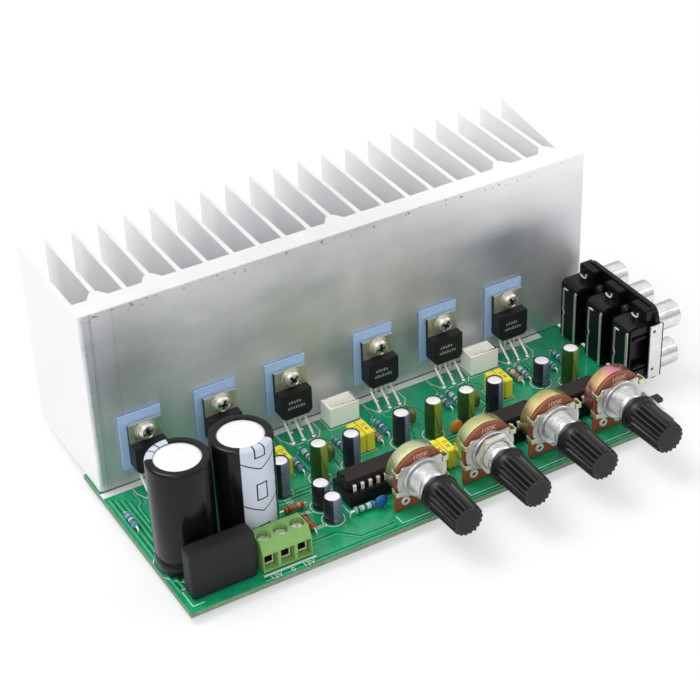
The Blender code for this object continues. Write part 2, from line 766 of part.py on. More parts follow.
def chip_screw():
    """A pan head with a cross recess over its washers, origin on its axis at the tab's face."""
    top = WASHER_THICKNESS + SCREW_HEAD_HEIGHT
    reach = -tab_front + TOUCH + CHIP_SCREW_GRIP
    profile = [
        (0, top),
        (SCREW_HEAD_RADIUS * CROWN_REACH, top * CROWN_HEIGHT),
        (SCREW_HEAD_RADIUS, top - SCREW_HEAD_HEIGHT / 2),
        (SCREW_HEAD_RADIUS, WASHER_THICKNESS),
        (WASHER_RADIUS, WASHER_THICKNESS),
        (WASHER_RADIUS, 0),
        (CHIP_SCREW_RADIUS, 0),
        (CHIP_SCREW_RADIUS, -reach),
        (0, -reach),
    ]
    blank = turned(profile, facing_front=True, steps=10)
    arm = SCREW_HEAD_RADIUS * CROSS_REACH
    thin = CROSS_WIDTH / 2
    depth = (-top - TOUCH, CROSS_DEPTH - top)
    upright = box((-thin, thin), depth, (-arm, arm))
    level = box((-arm, arm), depth, (-thin, thin))
    return solid(blank, removed=[upright, level])


def chips():
    chip, pad, screw = power_chip(), insulating_pad(), chip_screw()
    for number, x in enumerate(chip_centres, 1):
        place(f"amplifier_chip_{number}", chip, CHIP_BLACK, (x + CHIP_SIDE_SHIFT, 0, 0))
        place(f"insulator_pad_{number}", pad, PAD_BLUE, (x, 0, 0))
        at = (x + CHIP_SIDE_SHIFT, tab_front - TOUCH, screw_height)
        place(f"chip_screw_{number}", screw, STEEL, at, smooth=True)


def reservoir_capacitors():
    """Tall sleeved cans with a bare top disc and a crimp above the foot."""
    radius, top, crimp = RESERVOIR_RADIUS, RESERVOIR_HEIGHT, RESERVOIR_CRIMP_HEIGHT
    dip = RESERVOIR_CRIMP_DEPTH
    profile = [
        (0, top - RESERVOIR_RIM),
        (RESERVOIR_TOP_RADIUS, top - RESERVOIR_RIM),
        (RESERVOIR_TOP_RADIUS + RESERVOIR_RIM, top),
        (radius - RESERVOIR_RIM, top),
        (radius, top - RESERVOIR_RIM),
        (radius, crimp + dip),
        (radius - dip, crimp),
        (radius, crimp - dip),
        (radius, TOUCH + RESERVOIR_RIM),
        (radius - RESERVOIR_RIM, TOUCH),
        (0, TOUCH),
    ]
    can = turned(profile, steps=FINE)
    for index in range(2):
        at = (reservoir_x(index), reservoir_y, 0)
        place(f"reservoir_capacitor_{index + 1}", can, SLEEVE_BLACK, at, smooth=True)


def bridge_rectifier():
    length, thick = RECTIFIER_LENGTH, RECTIFIER_THICKNESS
    block = box((0, length), (0, thick), (TOUCH, TOUCH + RECTIFIER_HEIGHT))
    body = softened(block, RECTIFIER_EDGE)
    place("bridge_rectifier", body, RECTIFIER_BLACK, (RECTIFIER_LEFT, front_row, 0))


def cage_foot():
    return TERMINAL_FLOOR + TOUCH


def shoulder_top():
    return TERMINAL_HEIGHT - TERMINAL_WELL_DEPTH


def chamber_top():
    return shoulder_top() - TERMINAL_SHOULDER


def cage_top():
    """At rest the cage is down, its travel and a clearance below the chamber's roof."""
    return chamber_top() - TOUCH - CAGE_TRAVEL


def terminal_block():
    """A row of screw terminals: a well, a chamber and a mouth for each pole."""
    width = POLE_PITCH * POLE_COUNT - TOUCH
    slope = TERMINAL_HEIGHT - TERMINAL_SLOPE_HEIGHT
    back = front_row + TERMINAL_DEPTH
    outline = [
        (front_row, TOUCH),
        (back, TOUCH),
        (back, TERMINAL_HEIGHT),
        (front_row + TERMINAL_SLOPE_DEPTH, TERMINAL_HEIGHT),
        (front_row, slope),
    ]
    left = terminal_left() + TOUCH / 2
    block = prism(outline, left, left + width, "X")
    half = (POLE_PITCH - POLE_WALL) / 2
    cage_rear = pole_y() + CAGE_DEPTH / 2 + TOUCH
    cage_front = pole_y() - CAGE_DEPTH / 2 - TOUCH
    cuts = []
    for index in range(POLE_COUNT):
        x, y = pole_x(index), pole_y()
        sides = (x - half, x + half)
        cuts.append(box(sides, (cage_front, cage_rear), (TERMINAL_FLOOR, chamber_top())))
        cuts.append(box(sides, (front_row - OVERLAP, cage_front + OVERLAP), (TERMINAL_FLOOR, slope - TOUCH)))
        well = TERMINAL_SCREW_HEAD + TOUCH
        cuts.append(rod((x, y, shoulder_top()), (x, y, TERMINAL_HEIGHT + TOUCH), well))
        hole = TERMINAL_SCREW_RADIUS + TOUCH
        cuts.append(rod((x, y, chamber_top() - OVERLAP), (x, y, shoulder_top() + OVERLAP), hole))
    combine(place("terminal_block", block, TERMINAL_GREEN), cuts, "DIFFERENCE", ORIGIN)


def terminal_screw():
    """A slotted screw, its origin on its axis under its head."""
    head = TERMINAL_SCREW_HEAD
    top = TERMINAL_SCREW_HEAD_HEIGHT
    reach = shoulder_top() + TOUCH - (cage_top() - CAGE_BAR) + TERMINAL_SCREW_REACH - CAGE_TRAVEL
    shank = TERMINAL_SCREW_RADIUS
    profile = [(0, top), (head, top), (head, 0), (shank, 0), (shank, -reach), (0, -reach)]
    slot = box((-head, head), (-TERMINAL_SCREW_SLOT / 2, TERMINAL_SCREW_SLOT / 2), (top / 2, top + TOUCH))
    return solid(turned(profile), removed=[slot])


def terminal_cage():
    """A square ring that the screw draws up onto the wire."""
    x, y = CAGE_WIDTH / 2, CAGE_DEPTH / 2
    top = cage_top() - cage_foot()
    ring = box((-x, x), (-y, y), (0, top))
    mouth = box((CAGE_SIDE - x, x - CAGE_SIDE), (-y - TOUCH, y + TOUCH), (CAGE_FOOT, top - CAGE_BAR))
    hole = TERMINAL_SCREW_RADIUS + TOUCH
    bore = rod((0, 0, top - CAGE_BAR - TOUCH), (0, 0, top + TOUCH), hole)
    return solid(ring, removed=[mouth, bore])


def terminals():
    terminal_block()
    screw, cage = terminal_screw(), terminal_cage()
    for index in range(POLE_COUNT):
        x, y = pole_x(index), pole_y()
        place(f"terminal_screw_{index + 1}", screw, STEEL, (x, y, shoulder_top() + TOUCH), smooth=True)
        place(f"terminal_cage_{index + 1}", cage, CAGE_METAL, (x, y, cage_foot()))


def control_chip():
    """The control chip and the open socket that it is pushed into."""
    length, width = SOCKET_LENGTH / 2, SOCKET_WIDTH / 2
    top = TOUCH + SOCKET_HEIGHT
    frame = box((-length, length), (-width, width), (TOUCH, top))
    inner = width - SOCKET_RAIL
    opening = box((SOCKET_RAIL - length, length - SOCKET_RAIL), (-inner, inner), (-TOUCH, top + TOUCH))
    place("chip_socket", solid(frame, removed=[opening]), SOCKET_BLACK, (SOCKET_X, -SOCKET_Y, 0))
    length, width = CONTROL_CHIP_LENGTH / 2, CONTROL_CHIP_WIDTH / 2
    foot = top + TOUCH
    body = box((-length, length), (-width, width), (foot, foot + CONTROL_CHIP_HEIGHT))
    body = softened(body, CONTROL_CHIP_EDGE)
    pins = []
    for index in range(CONTROL_CHIP_PINS):
        x = CHIP_PIN_PITCH * (index - (CONTROL_CHIP_PINS - 1) / 2)
        for side in (-1, 1):
            y = (side * (width - OVERLAP), side * (width + CHIP_PIN_REACH))
            low = foot + CONTROL_CHIP_HEIGHT / 2 - CHIP_PIN_HEIGHT
            across = (x - CHIP_PIN_WIDTH / 2, x + CHIP_PIN_WIDTH / 2)
            pins.append(box(across, y, (low, low + CHIP_PIN_HEIGHT)))
    place("control_chip", solid(body, pins), CHIP_BLACK, (SOCKET_X, -SOCKET_Y, 0))


def claw(side, height):
    """A tongue of the can, bent over the wafer and the front plate."""
    reach = WAFER_RADIUS + TOUCH
    thick = CLAW_THICKNESS
    grip = PLATE_RADIUS - CLAW_GRIP
    front = plate_front - TOUCH
    root = can_front + CAN_WALL
    inside = CAN_RADIUS - CAN_WALL - ROTOR_PLAY
    outline = [
        (inside, root),
        (reach + thick, root),
        (reach + thick, front - thick),
        (grip, front - thick),
        (grip, front),
        (reach, front),
        (reach, can_front),
        (inside, can_front),
    ]
    mirrored = [(side * x, y) for x, y in outline]
    return prism(mirrored, height - CLAW_HEIGHT / 2, height + CLAW_HEIGHT / 2)


def control_can():
    """A drawn cup, open to the front, with four claws. Its origin is on the shaft's axis."""
    profile = [
        (0, -can_rear + CAN_WALL),
        (CAN_RADIUS - CAN_WALL, -can_rear + CAN_WALL),
        (CAN_RADIUS - CAN_WALL, -can_front),
        (CAN_RADIUS, -can_front),
        (CAN_RADIUS, -can_rear),
        (0, -can_rear),
    ]
    cup = turned(profile, facing_front=True, steps=FINE)
    claws = [claw(side, height) for side in (-1, 1) for height in (-CLAW_OFFSET, CLAW_OFFSET)]
    return solid(cup, claws)


def control_wafer():
    """The laminate that carries the track, its lower tab with three eyelets and pins."""
    drop = CONTROL_AXIS - TOUCH
    outline = arc((0, 0), WAFER_RADIUS, 0, 180, 12)
    outline += [(-WAFER_RADIUS, TOUCH - drop), (WAFER_RADIUS, TOUCH - drop)]
    sheet = prism(outline, wafer_front, wafer_rear, "Y")
    pieces, cuts = [], []
    for index in (-1, 0, 1):
        x = EYELET_SPACING * index
        rear, front = wafer_rear - OVERLAP, wafer_front - EYELET_RISE
        pieces.append(rod((x, rear, -EYELET_DROP), (x, front, -EYELET_DROP), EYELET_RADIUS, sides=COARSE))
        start, end = (x, front - TOUCH, -EYELET_DROP), (x, front + OVERLAP, -EYELET_DROP)
        cuts.append(rod(start, end, EYELET_HOLE, sides=6))
    shaft_hole = SHAFT_RADIUS + TOUCH
    cuts.append(rod((0, wafer_rear + TOUCH, 0), (0, wafer_front - TOUCH, 0), shaft_hole))
    return solid(sheet, pieces, cuts)


def control_bushing():
    """The die-cast front plate: a flat-topped disc with a round collar and the threaded bushing."""
    reach = math.degrees(math.asin(PLATE_ABOVE_AXIS / PLATE_RADIUS))
    dip = math.degrees(math.asin(PLATE_BELOW_AXIS / PLATE_RADIUS))
    outline = arc((0, 0), PLATE_RADIUS, -dip, reach, 6) + arc((0, 0), PLATE_RADIUS, 180 - reach, 180 + dip, 6)
    plate = prism(outline, plate_front, plate_rear, "Y")
    collar = rod((0, plate_rear - OVERLAP, 0), (0, collar_front, 0), COLLAR_RADIUS)
    bushing = rod((0, plate_rear - OVERLAP, 0), (0, bushing_end, 0), BUSHING_RADIUS)
    bore = rod((0, plate_rear + TOUCH, 0), (0, bushing_end - TOUCH, 0), SHAFT_RADIUS + TOUCH)
    return solid(plate, [collar, bushing], [bore])


def control_shaft():
    """The rotor inside the can and the shaft that runs out into the knob."""
    rotor = CAN_RADIUS - CAN_WALL - ROTOR_PLAY
    rotor_front = -wafer_rear - TOUCH
    profile = [
        (0, -knob_rear + SHAFT_IN_KNOB),
        (SHAFT_RADIUS, -knob_rear + SHAFT_IN_KNOB),
        (SHAFT_RADIUS, rotor_front),
        (rotor, rotor_front),
        (rotor, rotor_front - ROTOR_THICKNESS),
        (SHAFT_RADIUS, rotor_front - ROTOR_THICKNESS),
        (SHAFT_RADIUS, -can_rear + CAN_WALL + TOUCH),
        (0, -can_rear + CAN_WALL + TOUCH),
    ]
    return turned(profile, facing_front=True)


def control_knob():
    """A tapered knob with ribs around it, a plain skirt and a blind bore for the shaft."""
    skirt_front = knob_rear - KNOB_SKIRT
    slices = KNOB_RIBS * 3
    grip = rod((0, skirt_front + OVERLAP, 0), (0, knob_front, 0), KNOB_RADIUS, KNOB_TIP_RADIUS, sides=slices)
    for vertex in grip.vertices:
        turn = math.atan2(vertex.co.z, vertex.co.x) / math.tau * slices
        if round(turn) % 3 == 0:
            distance = math.hypot(vertex.co.x, vertex.co.z)
            vertex.co.x *= 1 - KNOB_VALLEY / distance
            vertex.co.z *= 1 - KNOB_VALLEY / distance
    skirt = rod((0, knob_rear, 0), (0, skirt_front, 0), KNOB_SKIRT_RADIUS, sides=FINE)
    depth = SHAFT_IN_KNOB + TOUCH
    bore = rod((0, knob_rear + TOUCH, 0), (0, knob_rear - depth, 0), SHAFT_RADIUS + TOUCH)
    return solid(grip, [skirt], [bore])


def hexagon_nut():
    rear = collar_front - TOUCH
    nut = rod((0, rear, 0), (0, rear - NUT_THICKNESS, 0), NUT_RADIUS, sides=6)
    bore = rod((0, rear + TOUCH, 0), (0, rear - NUT_THICKNESS - TOUCH, 0), BUSHING_RADIUS + TOUCH)
    return solid(nut, removed=[bore])


def controls():
    """Four equal controls. Every piece has its origin on the axis that its shaft turns on."""
    kinds = (
        ("control_can", control_can(), CAN_YELLOW),
        ("control_wafer", control_wafer(), WAFER_BROWN),
        ("control_bushing", control_bushing(), BUSHING_ZINC),
        ("control_shaft", control_shaft(), SHAFT_METAL),
        ("control_knob", control_knob(), KNOB_BLACK),
    )
    for number, x in enumerate(control_centres, 1):
        for name, mesh, look in kinds:
            place(f"{name}_{number}", mesh, look, (x, 0, CONTROL_AXIS), smooth=True)
    at = (control_centres[NUT_CONTROL - 1], 0, CONTROL_AXIS)
    place("control_nut", hexagon_nut(), BUSHING_ZINC, at)


def jack_housing():
    """Three towers in front of one wall, with a ridge over each and bent contacts on their faces."""
    rear = -JACK_REAR
    half = TOWER_WIDTH / 2
    front = jack_column_y(JACK_COLUMNS - 1) - half - JACK_END_WALL
    wall_left = jack_right - JACK_WALL
    radius = JACK_CORNER
    outline = [(front, TOUCH), (rear, TOUCH)]
    outline += arc((rear - radius, JACK_HEIGHT - radius), radius, 0, 90, 4)
    outline += arc((front + radius, JACK_HEIGHT - radius), radius, 90, 180, 4)
    wall = prism(outline, wall_left, jack_right, "X")
    inner = wall_left + OVERLAP
    web_ends = (jack_column_y(0), jack_column_y(JACK_COLUMNS - 1))
    pieces = [box((inner - WEB_DEPTH, inner), web_ends, (TOUCH, WEB_HEIGHT))]
    face = jack_left - CONTACT_THICKNESS
    for index in range(JACK_COLUMNS):
        y = jack_column_y(index)
        pieces.append(box((jack_left, inner), (y - half, y + half), (TOUCH, TOWER_HEIGHT)))
        ridge = RIDGE_WIDTH / 2
        ridge_top = JACK_HEIGHT - RIDGE_DROP
        foot = TOWER_HEIGHT - OVERLAP
        pieces.append(box((inner - RIDGE_DEPTH, inner), (y - ridge, y + ridge), (foot, ridge_top)))
        for step, low in ((0, TOUCH), (1, TOWER_HEIGHT / 2)):
            edge = y - half + CONTACT_INSET + step * CONTACT_SPACING
            top = TOWER_HEIGHT - CONTACT_DROP - step * CONTACT_WIDTH
            pieces.append(box((face, jack_left + OVERLAP), (edge, edge + CONTACT_WIDTH), (low, top)))
    side = (jack_left + RECESS_MARGIN, wall_left)
    end = front + JACK_END_WALL
    recess = box(side, (end - TOUCH, end + RECESS_DEPTH), (RECESS_FOOT, TOWER_HEIGHT - RECESS_TOP))
    body = place("jack_housing", wall, JACK_BLACK)
    combine(body, pieces, "UNION", ORIGIN)
    combine(body, [recess], "DIFFERENCE", ORIGIN)
    return front


def jack_plate(front):
    """The ground plate over the outer wall, folded round its front end, with six barrels."""
    left = jack_right + TOUCH
    right = left + GROUND_THICKNESS
    fold = front - TOUCH
    height = (GROUND_FOOT, GROUND_TOP + JACK_CORNER)
    plate = box((left, right), (fold - GROUND_THICKNESS, -JACK_REAR - JACK_CORNER), (GROUND_FOOT, GROUND_TOP))
    pieces = [box((right - GROUND_RETURN, right), (fold - GROUND_THICKNESS, fold), (GROUND_FOOT, GROUND_TOP))]
    pieces.append(box((left, right), (front + JACK_CORNER, -JACK_REAR - JACK_CORNER), height))
    cuts = []
    for column in range(JACK_COLUMNS):
        y = jack_column_y(column)
        for z in JACK_ROWS:
            tip = right + BARREL_LENGTH
            pieces.append(rod((right - OVERLAP, y, z), (tip, y, z), BARREL_RADIUS, sides=FINE))
            cuts.append(rod((right + BARREL_FLOOR, y, z), (tip + TOUCH, y, z), BARREL_BORE))
    hole_x = right - GROUND_RETURN * GROUND_HOLE_INSET
    for z in JACK_ROWS:
        start, end = (hole_x, fold + TOUCH, z), (hole_x, fold - GROUND_THICKNESS - TOUCH, z)
        cuts.append(rod(start, end, GROUND_HOLE, sides=6))
    body = place("jack_plate", plate, JACK_METAL)
    combine(body, pieces, "UNION", ORIGIN)
    combine(body, cuts, "DIFFERENCE", ORIGIN)


def slide_switch():
    """A bright can with a slot in its outer face, and the lever that slides along it."""
    right = board_right - SWITCH_MARGIN
    front = board_front + SWITCH_FRONT
    wall = SWITCH_WALL
    can = box((right - SWITCH_WIDTH, right), (front, front + SWITCH_LENGTH), (TOUCH, TOUCH + SWITCH_HEIGHT))
    inside_x = (right - SWITCH_WIDTH + wall, right - wall)
    inside_y = (front + wall, front + SWITCH_LENGTH - wall)
    inside_z = (TOUCH + wall, TOUCH + SWITCH_HEIGHT - wall)
    cavity = box(inside_x, inside_y, inside_z)
    middle = sum(inside_z) / 2
    carriage_rear = inside_y[1] - TOUCH
    carriage_middle = carriage_rear - CARRIAGE_LENGTH / 2
    slot_half = LEVER_WIDTH / 2 + TOUCH
    slot_y = (carriage_middle - slot_half - LEVER_TRAVEL, carriage_middle + slot_half)
    slot_z = (middle - LEVER_HEIGHT / 2 - TOUCH, middle + LEVER_HEIGHT / 2 + TOUCH)
    slot = box((right - wall - OVERLAP, right + TOUCH), slot_y, slot_z)
    combine(place("switch_body", can, SWITCH_METAL), [cavity, slot], "DIFFERENCE", ORIGIN)
    half = CARRIAGE_LENGTH / 2
    carriage = box(
        (inside_x[0] + TOUCH, inside_x[1] - TOUCH), (-half, half), (inside_z[0] + TOUCH, inside_z[1] - TOUCH)
    )
    stem_x = (inside_x[1] - TOUCH - OVERLAP, right + LEVER_LENGTH)
    stem_z = (middle - LEVER_HEIGHT / 2, middle + LEVER_HEIGHT / 2)
    stem = box(stem_x, (-LEVER_WIDTH / 2, LEVER_WIDTH / 2), stem_z)
    place("switch_lever", solid(carriage, [stem]), LEVER_BLACK, (0, carriage_middle, 0))


def speaker_header():
    """An open nylon shroud round two square pins."""
    x, rear, front = HEADER_LENGTH / 2, -HEADER_REAR, -HEADER_REAR - HEADER_WIDTH
    shroud = box((-x, x), (front, rear), (TOUCH, TOUCH + HEADER_HEIGHT))
    wall = HEADER_WALL
    top = TOUCH + HEADER_HEIGHT
    hollow = box((wall - x, x - wall), (front + wall, rear - wall), (HEADER_FLOOR, top + TOUCH))
    cup = solid(shroud, removed=[hollow])
    middle, half = (front + rear) / 2, HEADER_PIN / 2
    pins = []
    for side in (-1, 1):
        pin_x = side * HEADER_PIN_PITCH / 2
        sides = (pin_x - half, pin_x + half)
        pins.append(box(sides, (middle - half, middle + half), (HEADER_FLOOR - OVERLAP, HEADER_PIN_TOP)))
    return solid(cup, pins)


def speaker_headers():
    header = speaker_header()
    for number, x in enumerate(header_centres(), 1):
        place(f"speaker_header_{number}", header, NYLON_WHITE, (x, 0, 0))


heatsink()
circuit_board()
chips()
reservoir_capacitors()
bridge_rectifier()
terminals()
control_chip()
controls()
jack_plate(jack_housing())
slide_switch()
speaker_headers()
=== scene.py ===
# %% [markdown]
# # Dressing an audio amplifier board
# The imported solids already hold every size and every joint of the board. This lesson gives them the
# looks of the real thing: extruded aluminium, glossy green board, moulded plastic and plated metal.

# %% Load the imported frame
import math

import bmesh
import bpy
from mathutils import Matrix, Vector


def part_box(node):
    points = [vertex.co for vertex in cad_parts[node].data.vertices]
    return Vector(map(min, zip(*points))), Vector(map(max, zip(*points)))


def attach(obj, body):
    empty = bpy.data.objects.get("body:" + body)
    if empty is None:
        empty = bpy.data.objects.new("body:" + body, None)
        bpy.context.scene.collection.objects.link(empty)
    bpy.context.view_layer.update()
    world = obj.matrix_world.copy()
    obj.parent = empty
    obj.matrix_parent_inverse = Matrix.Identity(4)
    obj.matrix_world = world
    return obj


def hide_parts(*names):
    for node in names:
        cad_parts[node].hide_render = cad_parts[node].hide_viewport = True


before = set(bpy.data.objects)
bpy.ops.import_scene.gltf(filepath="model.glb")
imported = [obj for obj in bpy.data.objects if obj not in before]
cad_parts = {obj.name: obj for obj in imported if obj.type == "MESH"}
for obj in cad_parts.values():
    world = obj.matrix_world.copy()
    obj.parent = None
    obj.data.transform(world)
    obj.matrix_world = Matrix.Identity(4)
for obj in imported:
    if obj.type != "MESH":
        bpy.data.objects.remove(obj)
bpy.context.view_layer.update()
BOARD_BODY = "amplifier_board"

# %% [markdown]
# Every place on the board is easiest to read in millimetres: across from the heatsink's left end,
# forward (negative) from its flat face and up from the board's top. One matrix carries such a
# place into the frame's metres, so no piece needs numbers in metres.

# %% Board millimetres
MM = 0.001
SEAT_GAP = 0.3
sink_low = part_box("heatsink")[0]
CORNER = Vector((sink_low.x, sink_low.y, sink_low.z - SEAT_GAP * MM))
TO_FRAME = Matrix.Translation(CORNER) @ Matrix.Diagonal((MM, MM, MM, 1))
TO_BOARD = TO_FRAME.inverted()


def room(node):
    """Lowest and highest corner of a solid, in board millimetres."""
    low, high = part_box(node)
    return TO_BOARD @ low, TO_BOARD @ high


chip_middles = []
for number in range(1, 7):
    low, high = room(f"amplifier_chip_{number}")
    chip_middles.append((low.x + high.x) / 2)
control_middles = []
for number in range(1, 5):
    low, high = room(f"control_bushing_{number}")
    control_middles.append((low.x + high.x) / 2)
print("chips at", [round(x, 1) for x in chip_middles])
print("controls at", [round(x, 1) for x in control_middles])

# %% [markdown]
# Meshes are built by a few small makers. Moulded and cut blocks get their edges eased, because no
# real edge is perfectly sharp and the eased edge is what catches the light.


# %% Blocks and slabs
def from_bmesh(bm):
    mesh = bpy.data.meshes.new("shape")
    bmesh.ops.recalc_face_normals(bm, faces=bm.faces)
    bm.to_mesh(mesh)
    bm.free()
    return mesh


def ease_edges(bm, width, segments=2, sharper_than=30):
    sharp = [e for e in bm.edges if e.is_manifold and math.degrees(e.calc_face_angle(0)) > sharper_than]
    if width and sharp:
        bmesh.ops.bevel(bm, geom=sharp, offset=width, segments=segments, affect="EDGES", clamp_overlap=True)


def block(x, y, z, ease=0.1, segments=2):
    """A block from three pairs of limits, its edges eased."""
    bm = bmesh.new()
    size = Vector([abs(b - a) for a, b in (x, y, z)])
    middle = Vector([(a + b) / 2 for a, b in (x, y, z)])
    bmesh.ops.create_cube(bm, size=1, matrix=Matrix.LocRotScale(middle, None, size))
    ease_edges(bm, ease, segments)
    return from_bmesh(bm)


AXES = {
    "Z": lambda across, up, along: (across, up, along),
    "X": lambda across, up, along: (along, across, up),
    "Y": lambda across, up, along: (across, along, up),
}


def slab(outline, low, high, axis="Z", ease=0.0, segments=2):
    """A flat outline drawn out between two places along an axis."""
    bm = bmesh.new()
    place = AXES[axis]
    rings = [[bm.verts.new(place(a, b, along)) for a, b in outline] for along in (low, high)]
    count = len(outline)
    bm.faces.new(rings[0])
    bm.faces.new(rings[1][::-1])
    for i in range(count):
        j = (i + 1) % count
        bm.faces.new((rings[0][i], rings[1][i], rings[1][j], rings[0][j]))
    bmesh.ops.recalc_face_normals(bm, faces=bm.faces)
    ease_edges(bm, ease, segments)
    return from_bmesh(bm)


def arc(centre, radius, start, end, steps):
    angles = [math.radians(start + (end - start) * i / steps) for i in range(steps + 1)]
    return [(centre[0] + radius * math.cos(a), centre[1] + radius * math.sin(a)) for a in angles]


def moved(mesh, x=0.0, y=0.0, z=0.0, turn=0.0, about="Z"):
    """A copy of a shape, turned about an axis through the origin and then shifted."""
    copy = mesh.copy()
    copy.transform(Matrix.Translation((x, y, z)) @ Matrix.Rotation(math.radians(turn), 4, about))
    return copy


# %% [markdown]
# Round pieces are turned like work on a lathe: a profile of radius and height spun about an axis.
# Each gets its own UV map, with the turn in U and the height in V, so that stripes and bands can
# follow the surface.

# %% Turned pieces
FACING = {
    "up": Matrix.Identity(4),
    "front": Matrix.Rotation(math.radians(90), 4, "X"),
    "right": Matrix.Rotation(math.radians(90), 4, "Y"),
}


def eased(profile, width):
    """The same profile with a small round at each inner corner."""
    points = [profile[0]]
    for before, here, after in zip(profile, profile[1:], profile[2:]):
        here, before, after = Vector(here), Vector(before), Vector(after)
        back, on = before - here, after - here
        cut = min(width, back.length / 2.5, on.length / 2.5)
        back, on = back.normalized() * cut, on.normalized() * cut
        points += [tuple(here + back), tuple(here + (back + on) * 0.25), tuple(here + on)]
    return points + [profile[-1]]


def turned(profile, at=(0, 0, 0), facing="up", steps=64, ease=0.0):
    """A (radius, height) profile, from the top down, turned about its axis."""
    rows = eased(profile, ease) if ease else profile
    bm = bmesh.new()
    uv = bm.loops.layers.uv.new("turned")
    rings = []
    for radius, height in rows:
        if radius < 1e-6:
            rings.append([bm.verts.new((0, 0, height))] * steps)
            continue
        angles = [math.tau * i / steps for i in range(steps)]
        rings.append([bm.verts.new((radius * math.cos(a), radius * math.sin(a), height)) for a in angles])
    for row, (upper, lower) in enumerate(zip(rings, rings[1:])):
        for i in range(steps):
            j = (i + 1) % steps
            corners = [
                (upper[i], i, row),
                (lower[i], i, row + 1),
                (lower[j], i + 1, row + 1),
                (upper[j], i + 1, row),
            ]
            if upper[i] is upper[j]:
                corners.pop()
            if lower[i] is lower[j]:
                corners.pop(1)
            if len(corners) < 3:
                continue
            face = bm.faces.new([corner[0] for corner in corners])
            for loop, (_, turn, level) in zip(face.loops, corners):
                loop[uv].uv = (turn / steps, rows[level][1])
    mesh = from_bmesh(bm)
    mesh.transform(Matrix.Translation(at) @ FACING[facing])
    mesh.shade_smooth()
    mesh.set_sharp_from_angle(angle=math.radians(40))
    return mesh


# %% [markdown]
# Leads and formed strips follow a path. A wire is a curve with a round section, made into a mesh.
# A strap is a flat strip swept along a bent path, which is how sheet-metal fingers are folded.


# %% Wires and straps
def evaluated(obj):
    """The object's finished mesh; the object itself goes."""
    bpy.context.view_layer.update()
    graph = bpy.context.evaluated_depsgraph_get()
    mesh = bpy.data.meshes.new_from_object(obj.evaluated_get(graph), depsgraph=graph)
    bpy.data.objects.remove(obj, do_unlink=True)
    return mesh


def helper(name, data):
    obj = bpy.data.objects.new(name, data)
    bpy.context.scene.collection.objects.link(obj)
    return obj


def bends(points, radius, steps=4):
    """The same path with its corners rounded."""
    points = [Vector(p) for p in points]
    path = [points[0]]
    for before, here, after in zip(points, points[1:], points[2:]):
        back, on = before - here, after - here
        start = here + back.normalized() * min(radius, back.length / 2.1)
        end = here + on.normalized() * min(radius, on.length / 2.1)
        for i in range(steps + 1):
            t = i / steps
            path.append(start * (1 - t) ** 2 + here * 2 * t * (1 - t) + end * t * t)
    return path + [points[-1]]


def path_curve(points, cyclic=False):
    curve = bpy.data.curves.new("path", "CURVE")
    curve.dimensions = "3D"
    spline = curve.splines.new("POLY")
    spline.points.add(len(points) - 1)
    spline.use_cyclic_u = cyclic
    for point, place in zip(spline.points, points):
        point.co = (*place, 1)
    return curve


def wire(points, radius, bend=0.4):
    """A round lead with softly bent corners and closed ends."""
    curve = path_curve(bends(points, bend) if len(points) > 2 else points)
    curve.bevel_depth = radius
    curve.bevel_resolution = 2
    curve.use_fill_caps = True
    mesh = evaluated(helper("wire", curve))
    mesh.shade_smooth()
    mesh.set_sharp_from_angle(angle=math.radians(50))
    return mesh


def strap(points, across, width, thickness, ease=0.05):
    """A flat strip swept along a path; across is the direction of its width."""
    points = [Vector(p) for p in points]
    across = Vector(across).normalized()
    bm = bmesh.new()
    rings = []
    for i, here in enumerate(points):
        back = (here - points[i - 1]).normalized() if i else None
        on = (points[i + 1] - here).normalized() if i + 1 < len(points) else None
        along = ((back or on) + (on or back)).normalized()
        reach = thickness / 2 / max(0.5, along.dot(on or back))
        out = across.cross(along) * reach
        side = across * width / 2
        corners = [here + a * side + b * out for a, b in ((1, 1), (-1, 1), (-1, -1), (1, -1))]
        rings.append([bm.verts.new(corner) for corner in corners])
    for ring, following in zip(rings, rings[1:]):
        for i in range(4):
            j = (i + 1) % 4
            bm.faces.new((ring[i], ring[j], following[j], following[i]))
    bm.faces.new(rings[0])
    bm.faces.new(rings[-1])
    bmesh.ops.recalc_face_normals(bm, faces=bm.faces)
    ease_edges(bm, ease, 1, 60)
    return from_bmesh(bm)


def refined(node, ease=0.12):
    """A welded copy of a solid in board millimetres, its triangles joined and its edges eased."""
    bm = bmesh.new()
    bm.from_mesh(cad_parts[node].data)
    bmesh.ops.transform(bm, matrix=TO_BOARD, verts=bm.verts)
    bmesh.ops.remove_doubles(bm, verts=bm.verts, dist=0.002)
    bmesh.ops.dissolve_limit(bm, angle_limit=math.radians(1), verts=bm.verts, edges=bm.edges)
    ease_edges(bm, ease)
    low, high = room(node)
    uv = bm.loops.layers.uv.new("turned")
    for face in bm.faces:
        for loop in face.loops:
            spot = loop.vert.co - low
            loop[uv].uv = (spot.x / (high.x - low.x), spot.z / (high.z - low.z))
    return from_bmesh(bm)


def lettering(body, size, thickness=0.02):
    """Raised flat lettering, centred on the origin and lying in the ground plane."""
    text = bpy.data.curves.new("lettering", "FONT")
    text.body = body
    text.size = size
    text.extrude = thickness
    text.align_x = "CENTER"
    text.align_y = "CENTER"
    return evaluated(helper("lettering", text))
